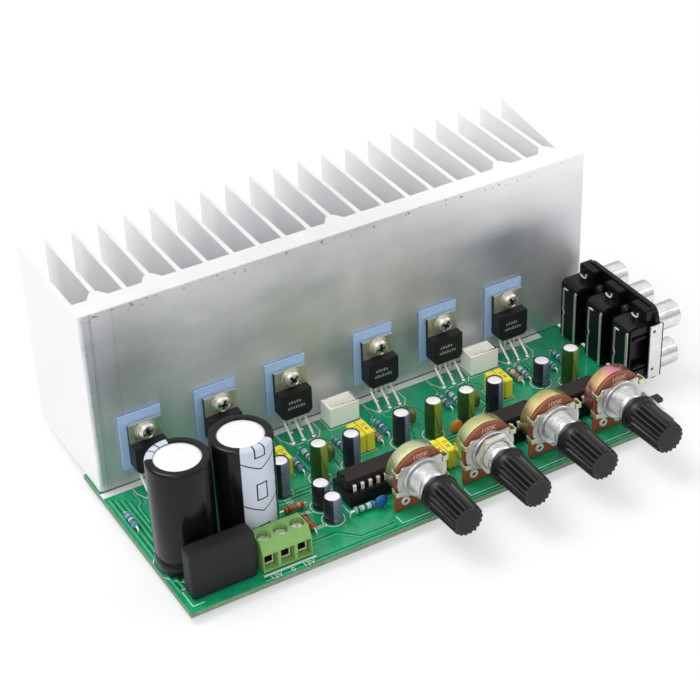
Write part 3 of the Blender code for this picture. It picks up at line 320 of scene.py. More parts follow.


# %% [markdown]
# A finished piece is one mesh made of parts that each carry a material. It is put into the frame,
# rides on the body it belongs to, and hides the plain solids it stands for.


# %% Finished pieces
def joined(parts):
    """One mesh from (shape, material) parts; a shape may already hold several materials."""
    bm = bmesh.new()
    looks = []
    for mesh, look in parts:
        mesh = mesh.copy()
        wanted = look if isinstance(look, list) else [look]
        slots = []
        for one in wanted:
            if one not in looks:
                looks.append(one)
            slots.append(looks.index(one))
        for polygon in mesh.polygons:
            polygon.material_index = slots[min(polygon.material_index, len(slots) - 1)]
        bm.from_mesh(mesh)
    mesh = bpy.data.meshes.new("piece")
    bm.to_mesh(mesh)
    bm.free()
    for look in looks:
        mesh.materials.append(look)
    return mesh


def piece(name, parts, replaces=(), body=BOARD_BODY):
    mesh = joined(parts) if isinstance(parts, list) else parts
    mesh.transform(TO_FRAME)
    mesh.name = name
    obj = helper(name, mesh)
    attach(obj, body)
    if replaces:
        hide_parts(*replaces)
    print(f"{name}: {len(mesh.polygons)} faces")
    return obj


def split_looks(mesh, choose):
    """Gives each face the material index that choose(centre, normal) returns."""
    for polygon in mesh.polygons:
        polygon.material_index = choose(polygon.center, polygon.normal)
    return mesh


# %% [markdown]
# What repeats is set out by Geometry Nodes. The input is a cloud of points, each with a turn and a
# stretch; every part is put on all of the points, made real and given its own material. The same
# tree serves chips, screws, capacitors, resistors, jack barrels and solder points.


# %% Repeat on points
def add_node(tree, kind, **values):
    """A node with some of its properties and inputs set by name; a socket is linked to its input."""
    node = tree.nodes.new(kind)
    for key, value in values.items():
        if hasattr(node, key):
            setattr(node, key, value)
        elif isinstance(value, bpy.types.NodeSocket):
            tree.links.new(value, node.inputs[key.replace("_", " ")])
        else:
            node.inputs[key.replace("_", " ")].default_value = value
    return node


def repeat_tree(parts):
    tree = bpy.data.node_groups.new("repeat_on_points", "GeometryNodeTree")
    tree.interface.new_socket("Points", in_out="INPUT", socket_type="NodeSocketGeometry")
    sockets = []
    for i in range(parts):
        part = tree.interface.new_socket(f"Part {i + 1}", in_out="INPUT", socket_type="NodeSocketObject")
        look = tree.interface.new_socket(f"Look {i + 1}", in_out="INPUT", socket_type="NodeSocketMaterial")
        sockets.append((part.identifier, look.identifier))
    tree.interface.new_socket("Result", in_out="OUTPUT", socket_type="NodeSocketGeometry")
    entry = tree.nodes.new("NodeGroupInput")
    leave = tree.nodes.new("NodeGroupOutput")
    join = tree.nodes.new("GeometryNodeJoinGeometry")
    stored = {}
    for name in ("turn", "stretch"):
        stored[name] = add_node(
            tree, "GeometryNodeInputNamedAttribute", data_type="FLOAT_VECTOR", Name=name
        )
    for i in range(parts):
        part, look = entry.outputs[1 + 2 * i], entry.outputs[2 + 2 * i]
        info = add_node(tree, "GeometryNodeObjectInfo", Object=part)
        spread = add_node(
            tree,
            "GeometryNodeInstanceOnPoints",
            Points=entry.outputs[0],
            Instance=info.outputs["Geometry"],
            Rotation=stored["turn"].outputs["Attribute"],
            Scale=stored["stretch"].outputs["Attribute"],
        )
        real = add_node(tree, "GeometryNodeRealizeInstances", Geometry=spread.outputs["Instances"])
        dress = add_node(tree, "GeometryNodeSetMaterial", Geometry=real.outputs["Geometry"], Material=look)
        tree.links.new(dress.outputs["Geometry"], join.inputs["Geometry"])
    tree.links.new(join.outputs["Geometry"], leave.inputs[0])
    return tree, sockets


def repeated(parts, places):
    """One mesh: every (shape, material) part at every (place, turn in degrees, stretch)."""
    cloud = bpy.data.meshes.new("places")
    cloud.from_pydata([place[0] for place in places], [], [])
    for name, column, fallback in (("turn", 1, (0, 0, 0)), ("stretch", 2, (1, 1, 1))):
        values = cloud.attributes.new(name, "FLOAT_VECTOR", "POINT")
        for i, place in enumerate(places):
            given = place[column] if len(place) > column else fallback
            if column == 1:
                given = [math.radians(angle) for angle in given]
            values.data[i].vector = given
    points = helper("places", cloud)
    tree, sockets = repeat_tree(len(parts))
    step = points.modifiers.new("repeat", "NODES")
    step.node_group = tree
    shown = []
    for (mesh, look), (part_id, look_id) in zip(parts, sockets):
        shown.append(helper("part", mesh))
        step[part_id] = shown[-1]
        step[look_id] = look
    mesh = evaluated(points)
    for obj in shown:
        bpy.data.objects.remove(obj, do_unlink=True)
    bpy.data.node_groups.remove(tree)
    return mesh


# %% [markdown]
# Board tracks and printed lines are flat ribbons along a path. Curve to Mesh sweeps a thin
# rectangle along every path at once, with the curve's normal held upright so the ribbon lies flat.


# %% Ribbons along paths
def ribbon_tree():
    tree = bpy.data.node_groups.new("ribbon_along_path", "GeometryNodeTree")
    names = {}
    tree.interface.new_socket("Paths", in_out="INPUT", socket_type="NodeSocketGeometry")
    for name, kind in (
        ("Width", "NodeSocketFloat"),
        ("Height", "NodeSocketFloat"),
        ("Look", "NodeSocketMaterial"),
    ):
        names[name] = tree.interface.new_socket(name, in_out="INPUT", socket_type=kind).identifier
    tree.interface.new_socket("Result", in_out="OUTPUT", socket_type="NodeSocketGeometry")
    entry = tree.nodes.new("NodeGroupInput")
    leave = tree.nodes.new("NodeGroupOutput")
    given = entry.outputs
    upright = add_node(tree, "GeometryNodeSetCurveNormal", mode="Z_UP", Curve=given["Paths"])
    section = add_node(
        tree, "GeometryNodeCurvePrimitiveQuadrilateral", Width=given["Width"], Height=given["Height"]
    )
    sweep = add_node(
        tree,
        "GeometryNodeCurveToMesh",
        Curve=upright.outputs["Curve"],
        Profile_Curve=section.outputs["Curve"],
        Fill_Caps=True,
    )
    real = add_node(tree, "GeometryNodeRealizeInstances", Geometry=sweep.outputs["Mesh"])
    flat = real.outputs["Geometry"]
    dress = add_node(tree, "GeometryNodeSetMaterial", Geometry=flat, Material=given["Look"])
    tree.links.new(dress.outputs["Geometry"], leave.inputs[0])
    return tree, names


RIBBONS, RIBBON_INPUTS = ribbon_tree()


def ribbons(paths, width, height, look):
    """Flat ribbons along (points, closed) paths, given as (across, forward) pairs of the board's top."""
    curve = bpy.data.curves.new("paths", "CURVE")
    curve.dimensions = "3D"
    for points, closed in paths:
        spline = curve.splines.new("POLY")
        spline.points.add(len(points) - 1)
        spline.use_cyclic_u = closed
        for point, (x, ahead) in zip(spline.points, points):
            point.co = (x, -ahead, height / 2, 1)
    obj = helper("paths", curve)
    step = obj.modifiers.new("ribbon", "NODES")
    step.node_group = RIBBONS
    step[RIBBON_INPUTS["Width"]] = width
    step[RIBBON_INPUTS["Height"]] = height
    step[RIBBON_INPUTS["Look"]] = look
    return evaluated(obj)


# %% [markdown]
# Materials share one effect: real surfaces are never one even colour, so a noise varies the colour
# between two tones, the roughness between two values and the height a little. It is one node
# group, and each material sets its own tones, scale and direction.


# %% The shared surface grain
def maths(tree, operation, *values, clamp=False):
    node = add_node(tree, "ShaderNodeMath", operation=operation, use_clamp=clamp)
    for i, value in enumerate(values):
        if isinstance(value, (int, float)):
            node.inputs[i].default_value = value
        else:
            tree.links.new(value, node.inputs[i])
    return node.outputs[0]


def blended(tree, amount, first, second):
    """A colour between two, each a colour or a socket."""
    node = tree.nodes.new("ShaderNodeMix")
    node.data_type = "RGBA"
    for socket, value in ((node.inputs[0], amount), (node.inputs[6], first), (node.inputs[7], second)):
        if isinstance(value, bpy.types.NodeSocket):
            tree.links.new(value, socket)
        elif isinstance(value, tuple):
            socket.default_value = (*value, 1)
        else:
            socket.default_value = value
    return node.outputs[2]


def grain_group():
    tree = bpy.data.node_groups.new("surface_grain", "ShaderNodeTree")
    for name, kind in (
        ("Light", "NodeSocketColor"),
        ("Dark", "NodeSocketColor"),
        ("Scale", "NodeSocketFloat"),
        ("Stretch", "NodeSocketVector"),
        ("Smooth", "NodeSocketFloat"),
        ("Rough", "NodeSocketFloat"),
        ("Relief", "NodeSocketFloat"),
    ):
        tree.interface.new_socket(name, in_out="INPUT", socket_type=kind)
    for name, kind in (
        ("Color", "NodeSocketColor"),
        ("Roughness", "NodeSocketFloat"),
        ("Normal", "NodeSocketVector"),
    ):
        tree.interface.new_socket(name, in_out="OUTPUT", socket_type=kind)
    entry = tree.nodes.new("NodeGroupInput")
    leave = tree.nodes.new("NodeGroupOutput")
    given = entry.outputs
    places = tree.nodes.new("ShaderNodeTexCoord")
    turn = add_node(tree, "ShaderNodeMapping", Vector=places.outputs["Object"], Scale=given["Stretch"])
    noise = add_node(
        tree,
        "ShaderNodeTexNoise",
        Vector=turn.outputs["Vector"],
        Scale=given["Scale"],
        Detail=4.0,
        Roughness=0.6,
    )
    height = noise.outputs["Fac"]
    spread = add_node(tree, "ShaderNodeMapRange", Value=height, From_Min=0.3, From_Max=0.7)
    mask = spread.outputs["Result"]
    rough = add_node(tree, "ShaderNodeMapRange", Value=mask, To_Min=given["Smooth"], To_Max=given["Rough"])
    bump = add_node(tree, "ShaderNodeBump", Height=height, Strength=given["Relief"], Distance=0.0001)
    for name, socket in (
        ("Color", blended(tree, mask, given["Dark"], given["Light"])),
        ("Roughness", rough.outputs["Result"]),
        ("Normal", bump.outputs["Normal"]),
    ):
        tree.links.new(socket, leave.inputs[name])
    return tree


GRAIN = grain_group()


def finish_of(
    name, light, dark, smooth, rough, scale=900.0, stretch=(1, 1, 1), relief=0.1, metal=0.0,
    **shader_values
):
    """A material on the shared grain, with its tree and its shader."""
    made = bpy.data.materials.new(name)
    made.use_nodes = True
    tree = made.node_tree
    shader = tree.nodes["Principled BSDF"]
    shader.inputs["Metallic"].default_value = metal
    for key, value in shader_values.items():
        shader.inputs[key.replace("_", " ")].default_value = value
    grain = tree.nodes.new("ShaderNodeGroup")
    grain.node_tree = GRAIN
    values = {
        "Light": (*light, 1),
        "Dark": (*dark, 1),
        "Scale": scale,
        "Stretch": stretch,
        "Smooth": smooth,
        "Rough": rough,
        "Relief": relief,
    }
    for key, value in values.items():
        grain.inputs[key].default_value = value
    tree.links.new(grain.outputs["Color"], shader.inputs["Base Color"])
    tree.links.new(grain.outputs["Roughness"], shader.inputs["Roughness"])
    tree.links.new(grain.outputs["Normal"], shader.inputs["Normal"])
    made.diffuse_color = (*light, 1)
    return made, tree, shader


def plain_finish(*args, **kwargs):
    return finish_of(*args, **kwargs)[0]


def object_axes(tree):
    """The three object coordinates, in board millimetres."""
    places = tree.nodes.new("ShaderNodeTexCoord")
    split = add_node(tree, "ShaderNodeSeparateXYZ", Vector=places.outputs["Object"])
    shifted = []
    for i in range(3):
        shifted.append(maths(tree, "DIVIDE", maths(tree, "SUBTRACT", split.outputs[i], CORNER[i]), MM))
    return shifted


def uv_axes(tree):
    """The piece's own UV: around or across, and up."""
    uv = add_node(tree, "ShaderNodeUVMap", uv_map="turned")
    split = add_node(tree, "ShaderNodeSeparateXYZ", Vector=uv.outputs["UV"])
    return split.outputs[0], split.outputs[1]


def within(tree, value, low, high, soft=0.02):
    """1 where a value lies between two limits, with a soft edge."""
    rise = add_node(tree, "ShaderNodeMapRange", Value=value, From_Min=low - soft, From_Max=low + soft)
    fall = add_node(tree, "ShaderNodeMapRange", Value=value, From_Min=high - soft, From_Max=high + soft)
    fall.inputs["To Min"].default_value, fall.inputs["To Max"].default_value = 1.0, 0.0
    return maths(tree, "MULTIPLY", rise.outputs["Result"], fall.outputs["Result"])


def recolour(tree, shader, amount, colour):
    """Paints another colour over the shader's present one where amount is 1."""
    present = shader.inputs["Base Color"].links[0].from_socket
    tree.links.new(blended(tree, amount, present, colour), shader.inputs["Base Color"])


# %% [markdown]
# The camera stands where the photograph's did. It was found by matching edges of the heatsink, the
# board and the capacitor tops, and it is kept as a place, a turn and a focal length.

# %% Camera
VIEW_TURN = math.radians(-29.06)
VIEW_TILT = math.radians(34.44)
VIEW_ROLL = math.radians(-2.20)
FOCAL_LENGTH = 98.8
SHIFT = (-0.0079, 0.0029)
VIEW_PLACE = (-143.5, -410.0, 339.0)

level = math.cos(VIEW_TILT)
away = Vector((math.sin(VIEW_TURN) * level, -math.cos(VIEW_TURN) * level, math.sin(VIEW_TILT)))
right = (-away).cross(Vector((0, 0, 1))).normalized()
up = right.cross(-away)
rolled_right = math.cos(VIEW_ROLL) * right + math.sin(VIEW_ROLL) * up
rolled_up = -math.sin(VIEW_ROLL) * right + math.cos(VIEW_ROLL) * up
camera_data = bpy.data.cameras.new("camera")
camera_data.lens = FOCAL_LENGTH
camera_data.sensor_width = 36
camera_data.shift_x, camera_data.shift_y = SHIFT
camera_data.clip_end = 20
camera = helper("camera", camera_data)
turn = Matrix((rolled_right, rolled_up, away)).transposed().to_4x4()
camera.matrix_world = Matrix.Translation(TO_FRAME @ Vector(VIEW_PLACE)) @ turn
bpy.context.scene.camera = camera
print("camera at", [round(v, 4) for v in camera.location])

# %% [markdown]
# The floor is pale and catches a soft shadow. To the camera it is partly its own light, which keeps
# the background white and the shadow faint. The sky is white to the camera and to reflections, and
# gentler as light, so that no pale surface burns out. Reflections of it fade towards the horizon, as in
# a studio with one big soft light overhead, which gives metal its darker bands.

# %% Floor, sky and lamps
FLOOR_REACH = 4.0
FLOOR_TONE = (0.88, 0.88, 0.88, 1)
FLOOR_GLOW = 0.5
SKY_LIGHT = 0.72
HORIZON = 0.35


def floor_material():
    made = bpy.data.materials.new("studio_floor")
    made.use_nodes = True
    tree = made.node_tree
    tree.nodes.clear()
    leave = tree.nodes.new("ShaderNodeOutputMaterial")
    matt = add_node(tree, "ShaderNodeBsdfDiffuse", Color=FLOOR_TONE)
    glow = add_node(tree, "ShaderNodeEmission", Strength=1.0)
    mix = tree.nodes.new("ShaderNodeMixShader")
    ray = tree.nodes.new("ShaderNodeLightPath")
    seen = maths(tree, "MULTIPLY", ray.outputs["Is Camera Ray"], FLOOR_GLOW)
    tree.links.new(seen, mix.inputs[0])
    tree.links.new(matt.outputs[0], mix.inputs[1])
    tree.links.new(glow.outputs[0], mix.inputs[2])
    tree.links.new(mix.outputs[0], leave.inputs["Surface"])
    return made


floor_mesh = bpy.data.meshes.new("floor")
corners = [(x * FLOOR_REACH, y * FLOOR_REACH, 0) for x, y in ((-1, -1), (1, -1), (1, 1), (-1, 1))]
floor_mesh.from_pydata(corners, [], [(0, 1, 2, 3)])
floor_mesh.materials.append(floor_material())
floor = helper("floor", floor_mesh)

sky = bpy.data.worlds.new("studio_sky")
sky.use_nodes = True
bpy.context.scene.world = sky
sky_tree = sky.node_tree
background = sky_tree.nodes["Background"]
background.inputs["Color"].default_value = (1, 1, 1, 1)
ray = sky_tree.nodes.new("ShaderNodeLightPath")
seen = maths(sky_tree, "MAXIMUM", ray.outputs["Is Camera Ray"], ray.outputs["Is Glossy Ray"])
seen = maths(sky_tree, "MAXIMUM", seen, ray.outputs["Is Transmission Ray"])
aim = sky_tree.nodes.new("ShaderNodeTexCoord")
split = add_node(sky_tree, "ShaderNodeSeparateXYZ", Vector=aim.outputs["Generated"])
rise = add_node(sky_tree, "ShaderNodeMapRange", Value=split.outputs[2], From_Min=-0.05, From_Max=0.75)
rise.inputs["To Min"].default_value = HORIZON
not_camera = maths(sky_tree, "SUBTRACT", 1.0, ray.outputs["Is Camera Ray"])
mirrored = maths(sky_tree, "MULTIPLY", rise.outputs["Result"], not_camera)
mirrored = maths(sky_tree, "ADD", mirrored, ray.outputs["Is Camera Ray"])
soft = maths(sky_tree, "MULTIPLY", maths(sky_tree, "SUBTRACT", 1.0, seen), SKY_LIGHT)
strength = maths(sky_tree, "ADD", maths(sky_tree, "MULTIPLY", seen, mirrored), soft)
sky_tree.links.new(strength, background.inputs["Strength"])


def lamp(name, place, size, power):
    data = bpy.data.lights.new(name, "AREA")
    data.shape = "DISK"
    data.size = size
    data.energy = power
    obj = helper(name, data)
    obj.location = place
    obj.rotation_euler = (-Vector(place)).to_track_quat("-Z", "Y").to_euler()
    return obj


lamp("key_lamp", (-0.35, 0.30, 0.95), 0.55, 5.0)
lamp("front_lamp", (-0.70, -0.90, 0.80), 0.60, 3.0)
lamp("side_lamp", (0.90, -0.30, 0.60), 0.40, 1.5)
bpy.context.scene.view_settings.view_transform = "Standard"

# %% [markdown]
# ## The heatsink
# The real one is sawn from a long aluminium extrusion: a thick base, twenty-one tapered fins and
# screw bosses at the roots of some. Its flat face isn't even, so the material lays soft clouds over
# it, with one dark patch, a few scratches and pits along the front face's edges, and a painted
# highlight on its upper right corner. The sawn faces, above and below, and the faces that point left
# are painted paler, as painted highlights of the overhead and side light.

# %% Extruded aluminium
SINK_METAL = 0.8
CLOUD_TONE = (0.47, 0.495, 0.54)
PATCH_TONE = (0.22, 0.26, 0.33)
CORNER_HIGHLIGHT_TONE = (0.97, 0.97, 0.96)
SCRATCH_TONE, FINE_TONE = (0.12, 0.13, 0.13), (0.30, 0.31, 0.31)
PIT_TONE = (0.16, 0.17, 0.18)
LEVEL_HIGHLIGHT_TONE, LEFT_HIGHLIGHT_TONE = (0.88, 0.88, 0.88), (0.85, 0.85, 0.86)
SCRATCHES = ((2.6, 0.010, 0.10), (3.4, 0.004, 0.06), (9.2, 0.012, 0.05))

ALUMINIUM, tree, shader = finish_of(
    "extruded_aluminium",
    light=(0.80, 0.785, 0.815),
    dark=(0.72, 0.71, 0.74),
    smooth=0.40,
    rough=0.52,
    scale=1.0,
    stretch=(90, 90, 30),
    relief=0.03,
    metal=SINK_METAL,
)
across, forward, height = object_axes(tree)
places = tree.nodes.new("ShaderNodeTexCoord").outputs["Object"]
narrow = add_node(tree, "ShaderNodeMapping", Vector=places, Scale=(0.75, 1.0, 1.7))
clouds = add_node(tree, "ShaderNodeTexNoise", Vector=narrow.outputs["Vector"], Scale=26.0, Detail=5.0)
cloud = clouds.outputs["Fac"]
cloudy = add_node(tree, "ShaderNodeMapRange", Value=cloud, From_Min=0.42, From_Max=0.62, To_Max=0.8)
recolour(tree, shader, cloudy.outputs["Result"], CLOUD_TONE)
# A darker bluish patch on the right part of the flat face, shaped by the clouds.
dark_patch = maths(tree, "MULTIPLY", within(tree, across, 122, 150, 14), within(tree, height, 27, 39, 9))
dark_patch = maths(tree, "MULTIPLY", dark_patch, maths(tree, "ADD", cloud, 0.3))
recolour(tree, shader, dark_patch, PATCH_TONE)
# Painted highlight: the upper right corner of the flat face is painted near white and made partly matt.
corner_highlight = maths(tree, "MULTIPLY", within(tree, across, 112, 190, 22), within(tree, height, 48, 90, 8))
recolour(tree, shader, maths(tree, "MULTIPLY", corner_highlight, 0.9), CORNER_HIGHLIGHT_TONE)
for scratch, lean, width in SCRATCHES:
    line = maths(tree, "SUBTRACT", across, maths(tree, "MULTIPLY", height, lean))
    mark = maths(tree, "MULTIPLY", within(tree, line, scratch - width, scratch + width, 0.05), 0.55)
    recolour(tree, shader, mark, SCRATCH_TONE)
sloping = maths(tree, "SUBTRACT", height, maths(tree, "MULTIPLY", across, 0.22))
fine = maths(tree, "MULTIPLY", within(tree, sloping, 11.9, 12.1, 0.08), within(tree, across, 78, 118, 6.0))
recolour(tree, shader, maths(tree, "MULTIPLY", fine, 0.25), FINE_TONE)
pits = add_node(tree, "ShaderNodeTexNoise", Vector=places, Scale=700.0, Detail=2.0)
pitted = maths(tree, "GREATER_THAN", pits.outputs["Fac"], 0.66)
rim = maths(tree, "MAXIMUM", within(tree, height, 57.2, 59.4, 0.4), within(tree, across, 0.2, 1.4, 0.3))
rim = maths(tree, "MULTIPLY", rim, within(tree, forward, -0.6, 0.6, 0.2))
pitted = maths(tree, "MULTIPLY", maths(tree, "MULTIPLY", pitted, rim), 0.7)
recolour(tree, shader, pitted, PIT_TONE)
# Painted highlights: faces that point up or down are painted pale, and faces that point left are painted
# pale and made partly matt, for the overhead and left light.
normal = tree.nodes.new("ShaderNodeNewGeometry")
split = add_node(tree, "ShaderNodeSeparateXYZ", Vector=normal.outputs["Normal"])
level_highlight = maths(tree, "GREATER_THAN", maths(tree, "ABSOLUTE", split.outputs[2]), 0.9)
recolour(tree, shader, level_highlight, LEVEL_HIGHLIGHT_TONE)
facing_left = maths(tree, "LESS_THAN", split.outputs[0], -0.9)
recolour(tree, shader, facing_left, LEFT_HIGHLIGHT_TONE)
left_highlight_matt = maths(tree, "MULTIPLY", facing_left, 0.30)
matt_share = maths(tree, "MAXIMUM", left_highlight_matt, maths(tree, "MULTIPLY", corner_highlight, 0.6))
tree.links.new(maths(tree, "SUBTRACT", SINK_METAL, matt_share), shader.inputs["Metallic"])

piece("heatsink_extrusion", [(refined("heatsink", 0.14), ALUMINIUM)], ["heatsink"])

# %% [markdown]
# ## The circuit board
# A real board is glass laminate with a copper layer and a glossy green mask over both, lighter where
# there is copper below. The slab carries the mask on its faces and bare laminate on its cut edges,
# and the tracks are thin raised ribbons, because that faint relief is what catches the light.

# %% Mask, laminate and print
BOARD_ACROSS = (-0.6, 158.0)
BOARD_ALONG = (-59.0, 11.0)
BOARD_THICK = 1.6

MASK = plain_finish(
    "solder_mask", (0.012, 0.380, 0.170), (0.008, 0.280, 0.120), 0.16, 0.26, 260.0, relief=0.05,
    Coat_Weight=0.25,
)
MASK_COPPER = plain_finish(
    "solder_mask_over_copper", (0.024, 0.480, 0.225), (0.015, 0.380, 0.172), 0.16, 0.28, 300.0,
    relief=0.05, Coat_Weight=0.25,
)
MASK_DARK = plain_finish(
    "solder_mask_gap", (0.005, 0.190, 0.082), (0.004, 0.140, 0.060), 0.2, 0.3, 300.0, relief=0.05
)
LAMINATE = plain_finish(
    "board_laminate", (0.26, 0.34, 0.22), (0.10, 0.16, 0.09), 0.55, 0.75, 1.0, (500, 500, 3500), relief=0.5
)
PRINT_WHITE = plain_finish(
    "white_print", (0.86, 0.87, 0.85), (0.74, 0.76, 0.74), 0.5, 0.62, 1500.0, relief=0.2
)
SOLDER = plain_finish(
    "solder", (0.80, 0.81, 0.82), (0.58, 0.60, 0.62), 0.18, 0.34, 1200.0, relief=0.3, metal=1.0
)
TINNED = plain_finish(
    "tinned_lead", (0.88, 0.88, 0.87), (0.70, 0.70, 0.70), 0.16, 0.30, 1500.0, relief=0.2, metal=1.0
)
LEAD = plain_finish(
    "matt_tin", (0.95, 0.95, 0.93), (0.84, 0.84, 0.82), 0.34, 0.48, 1500.0, relief=0.15, metal=0.6
)

slab_mesh = block(BOARD_ACROSS, BOARD_ALONG, (-BOARD_THICK, 0), 0.08, 1)
split_looks(slab_mesh, lambda centre, normal: 0 if abs(normal.z) > 0.9 else 1)

# %% [markdown]
# Tracks leave each chip's leads for the small parts and run on to the controls. They are set out
# by a few rules for each chip and each control, with forty-five degree bends as on a real board.


# %% Tracks
def open_line(*points):
    return list(points), False


def track_paths():
    paths = []
    for i, x in enumerate(chip_middles):
        lean = -1 if i % 2 else 1
        first, second = x - 3.4 - 2 * lean, x + 2.2 * lean
        paths.append(open_line((x - 3.4, 8.6), (x - 3.4, 12.0), (first, 14.0), (first, 24.5)))
        paths.append(open_line((x, 8.6), (x, 15.0), (second, 17.2), (second, 31.0), (x + 5 * lean, 33.8)))
        paths.append(open_line((x + 3.4, 8.6), (x + 3.4, 11.0), (x + 6.0, 13.6), (x + 6.0, 22.0)))
        paths.append(open_line((x - 6.5, 3.6), (x - 6.5, 9.5), (x - 8.2, 11.2), (x - 8.2, 19.0)))
    for x in control_middles:
        paths.append(open_line((x - 5, 50.0), (x - 5, 44.5), (x - 8.4, 41.1), (x - 8.4, 33.0)))
        paths.append(open_line((x, 50.0), (x, 43.0), (x + 3.0, 40.0), (x + 3.0, 31.5)))
        paths.append(open_line((x + 5, 50.0), (x + 5, 46.0), (x + 11.2, 39.8), (x + 11.2, 28.0)))
        paths.append(open_line((x - 9.5, 58.0), (x + 9.5, 58.0)))
    for i in range(4):
        inset = 0.9 + 1.5 * i
        paths.append(open_line((inset, 4.0 + 1.2 * i), (inset, 50.0 - 1.5 * i)))
    for i in range(3):
        ahead = 28.8 + 1.5 * i
        step = [(62.0 + 3 * i, ahead), (64.0 + 3 * i, ahead + 2)]
        paths.append(open_line((40.0, ahead), *step, (150.0, ahead + 2)))
    paths.append(open_line((22.0, 58.0), (64.0, 58.0)))
    paths.append(open_line((39.5, 51.0), (48.0, 51.0), (53.0, 56.0), (64.0, 56.0)))
    return paths


tracks = track_paths()
TRACK_WIDTH = 0.85
GAP_WIDTH = 1.5
gap_ribbons = ribbons(tracks, GAP_WIDTH, 0.012, MASK_DARK)
track_ribbons = ribbons(tracks, TRACK_WIDTH, 0.035, MASK_COPPER)

# %% [markdown]
# The white print is screen printed on the real board: outlines round many parts, values beside some
# of them and a bold bar at the terminals. Lines are ribbons again and the values are real letters.

# %% Silkscreen
SMALL_CANS = (
    ((43.5, 27.7), 12.1, "dark"),
    ((56.1, 27.2), 12.7, "green"),
    ((50.3, 38.4), 8.4, "dark"),
    ((50.2, 45.1), 8.2, "dark"),
    ((66.9, 26.9), 11.5, "dark"),
    ((84.4, 25.5), 11.0, "dark"),
    ((94.3, 27.2), 12.5, "green"),
    ((105.4, 27.6), 12.3, "green"),
    ((115.4, 27.5), 11.8, "dark"),
    ((135.7, 22.6), 8.3, "dark"),
    ((143.3, 26.6), 12.4, "green"),
)
RESERVOIRS = ((8.5, 38.7), (27.1, 38.7))
LINE = 0.26
PRINT_LIFT = 0.03


def ring(x, ahead, radius, steps=40):
    return arc((x, ahead), radius, 0, 360 - 360 / steps, steps - 1), True


def frame_line(x0, x1, ahead0, ahead1):
    return [(x0, ahead0), (x1, ahead0), (x1, ahead1), (x0, ahead1)], True


lines = []
for x in chip_middles:
    left_side = [(x - 6, 2.9), (x - 6, 5.6), (x - 3.8, 9.9)]
    lines.append(open_line(*left_side, (x + 4.6, 9.9), (x + 6.2, 7.4), (x + 6.2, 2.9)))
for place, _, _ in SMALL_CANS:
    lines.append(ring(*place, 3.25))
RESERVOIR_RING, PRINT_MARGIN = 9.35, 0.35
board_left = room("circuit_board")[0].x
for x, ahead in RESERVOIRS:
    reach = min(1.0, (x - board_left - PRINT_MARGIN) / RESERVOIR_RING)
    opening = math.degrees(math.acos(reach))
    lines.append(open_line(*arc((x, ahead), RESERVOIR_RING, opening - 180, 180 - opening, 64)))
for x in control_middles:
    lines.append(open_line((x - 8.9, 53.4), (x - 8.9, 57.0), (x + 8.9, 57.0), (x + 8.9, 53.4)))
lines.append(open_line((4.6, 56.6), (1.2, 56.6), (1.2, 49.2), (2.6, 49.2)))
lines.append(frame_line(55.4, 77.0, 33.6, 44.8))
lines.append(frame_line(47.3, 50.7, 14.6, 22.4))
lines.append(frame_line(70.2, 76.8, 16.6, 24.4))
lines.append(frame_line(118.2, 124.8, 16.6, 24.4))
for x in (75.05, 124.35):
    lines.append(frame_line(x - 5.3, x + 5.3, 2.4, 9.2))
bar = [open_line((22.6, 56.15), (38.6, 56.15))]
labels = (
    ("12V", 25.6, 57.75, 2.3),
    ("0", 30.7, 57.75, 2.3),
    ("12V", 35.5, 57.75, 2.3),
    ("1U", 43.4, 32.2, 1.9),
    ("10U", 52.0, 31.6, 1.9),
    ("1U", 64.3, 31.4, 1.9),
    ("10U", 89.0, 30.0, 1.9),
    ("1U", 81.2, 29.6, 1.9),
    ("10U", 100.6, 32.6, 1.9),
    ("100U", 45.5, 46.3, 1.9),
    ("10U", 45.6, 39.0, 1.9),
    ("10U", 138.2, 30.6, 1.9),
)
print_parts = [(ribbons(lines, LINE, PRINT_LIFT, PRINT_WHITE), PRINT_WHITE)]
print_parts.append((ribbons(bar, 0.75, PRINT_LIFT, PRINT_WHITE), PRINT_WHITE))
for body, x, ahead, size in labels:
    print_parts.append((moved(lettering(body, size), x, -ahead, PRINT_LIFT), PRINT_WHITE))
strip = block((BOARD_ACROSS[0] + 0.2, 150.0), (-2.6, -0.15), (0.0, 0.06), 0.02, 1)
print_parts.append((strip, PRINT_WHITE))

# %% [markdown]
# Under the board the leads of the larger parts end in small cones of solder, and four pan-headed
# screws hold the heatsink's foot. Both repeat, so both are set on points.

# %% Solder and foot screws
LEAD_ROWS = (8.48, 3.68)
FOOT_SCREWS = (8.97, 25.42, 83.0, 140.6)
FOOT_INSET = 5.2
solder_spots = []
for x in chip_middles:
    for i in range(5):
        solder_spots.append((x + 1.7 * (i - 2), LEAD_ROWS[i % 2]))
for x, ahead in RESERVOIRS:
    solder_spots += [(x - 4.4, ahead), (x + 4.4, ahead)]
for x in control_middles:
    solder_spots += [(x + 5 * i, 51.2) for i in (-1, 0, 1)]
solder_spots += [(4.4 + 4.8 * i, 52.6) for i in range(4)]
solder_spots += [(25.44 + 5.08 * i, 51.5) for i in range(3)]
solder_spots += [(x + side * 1.25, 5.8) for x in (75.05, 124.35) for side in (-1, 1)]
solder_spots += [(156.4, 8.65 + 13.0 * i) for i in range(3)]
cone = turned(
    [(0, 0.05), (1.1, 0.05), (1.1, -0.15), (0.75, -0.8), (0.5, -1.5), (0.36, -1.9), (0, -2.0)], steps=20
)
solder_cones = repeated([(cone, SOLDER)], [((x, -a, -BOARD_THICK),) for x, a in solder_spots])
fillet = turned([(0, 0.35), (0.45, 0.32), (0.62, 0.12), (0.95, 0.03), (0.95, 0), (0, 0)], steps=20)
top_spots = [spot for spot in solder_spots if spot[1] < 10]
solder_fillets = repeated([(fillet, SOLDER)], [((x, -a, 0),) for x, a in top_spots])
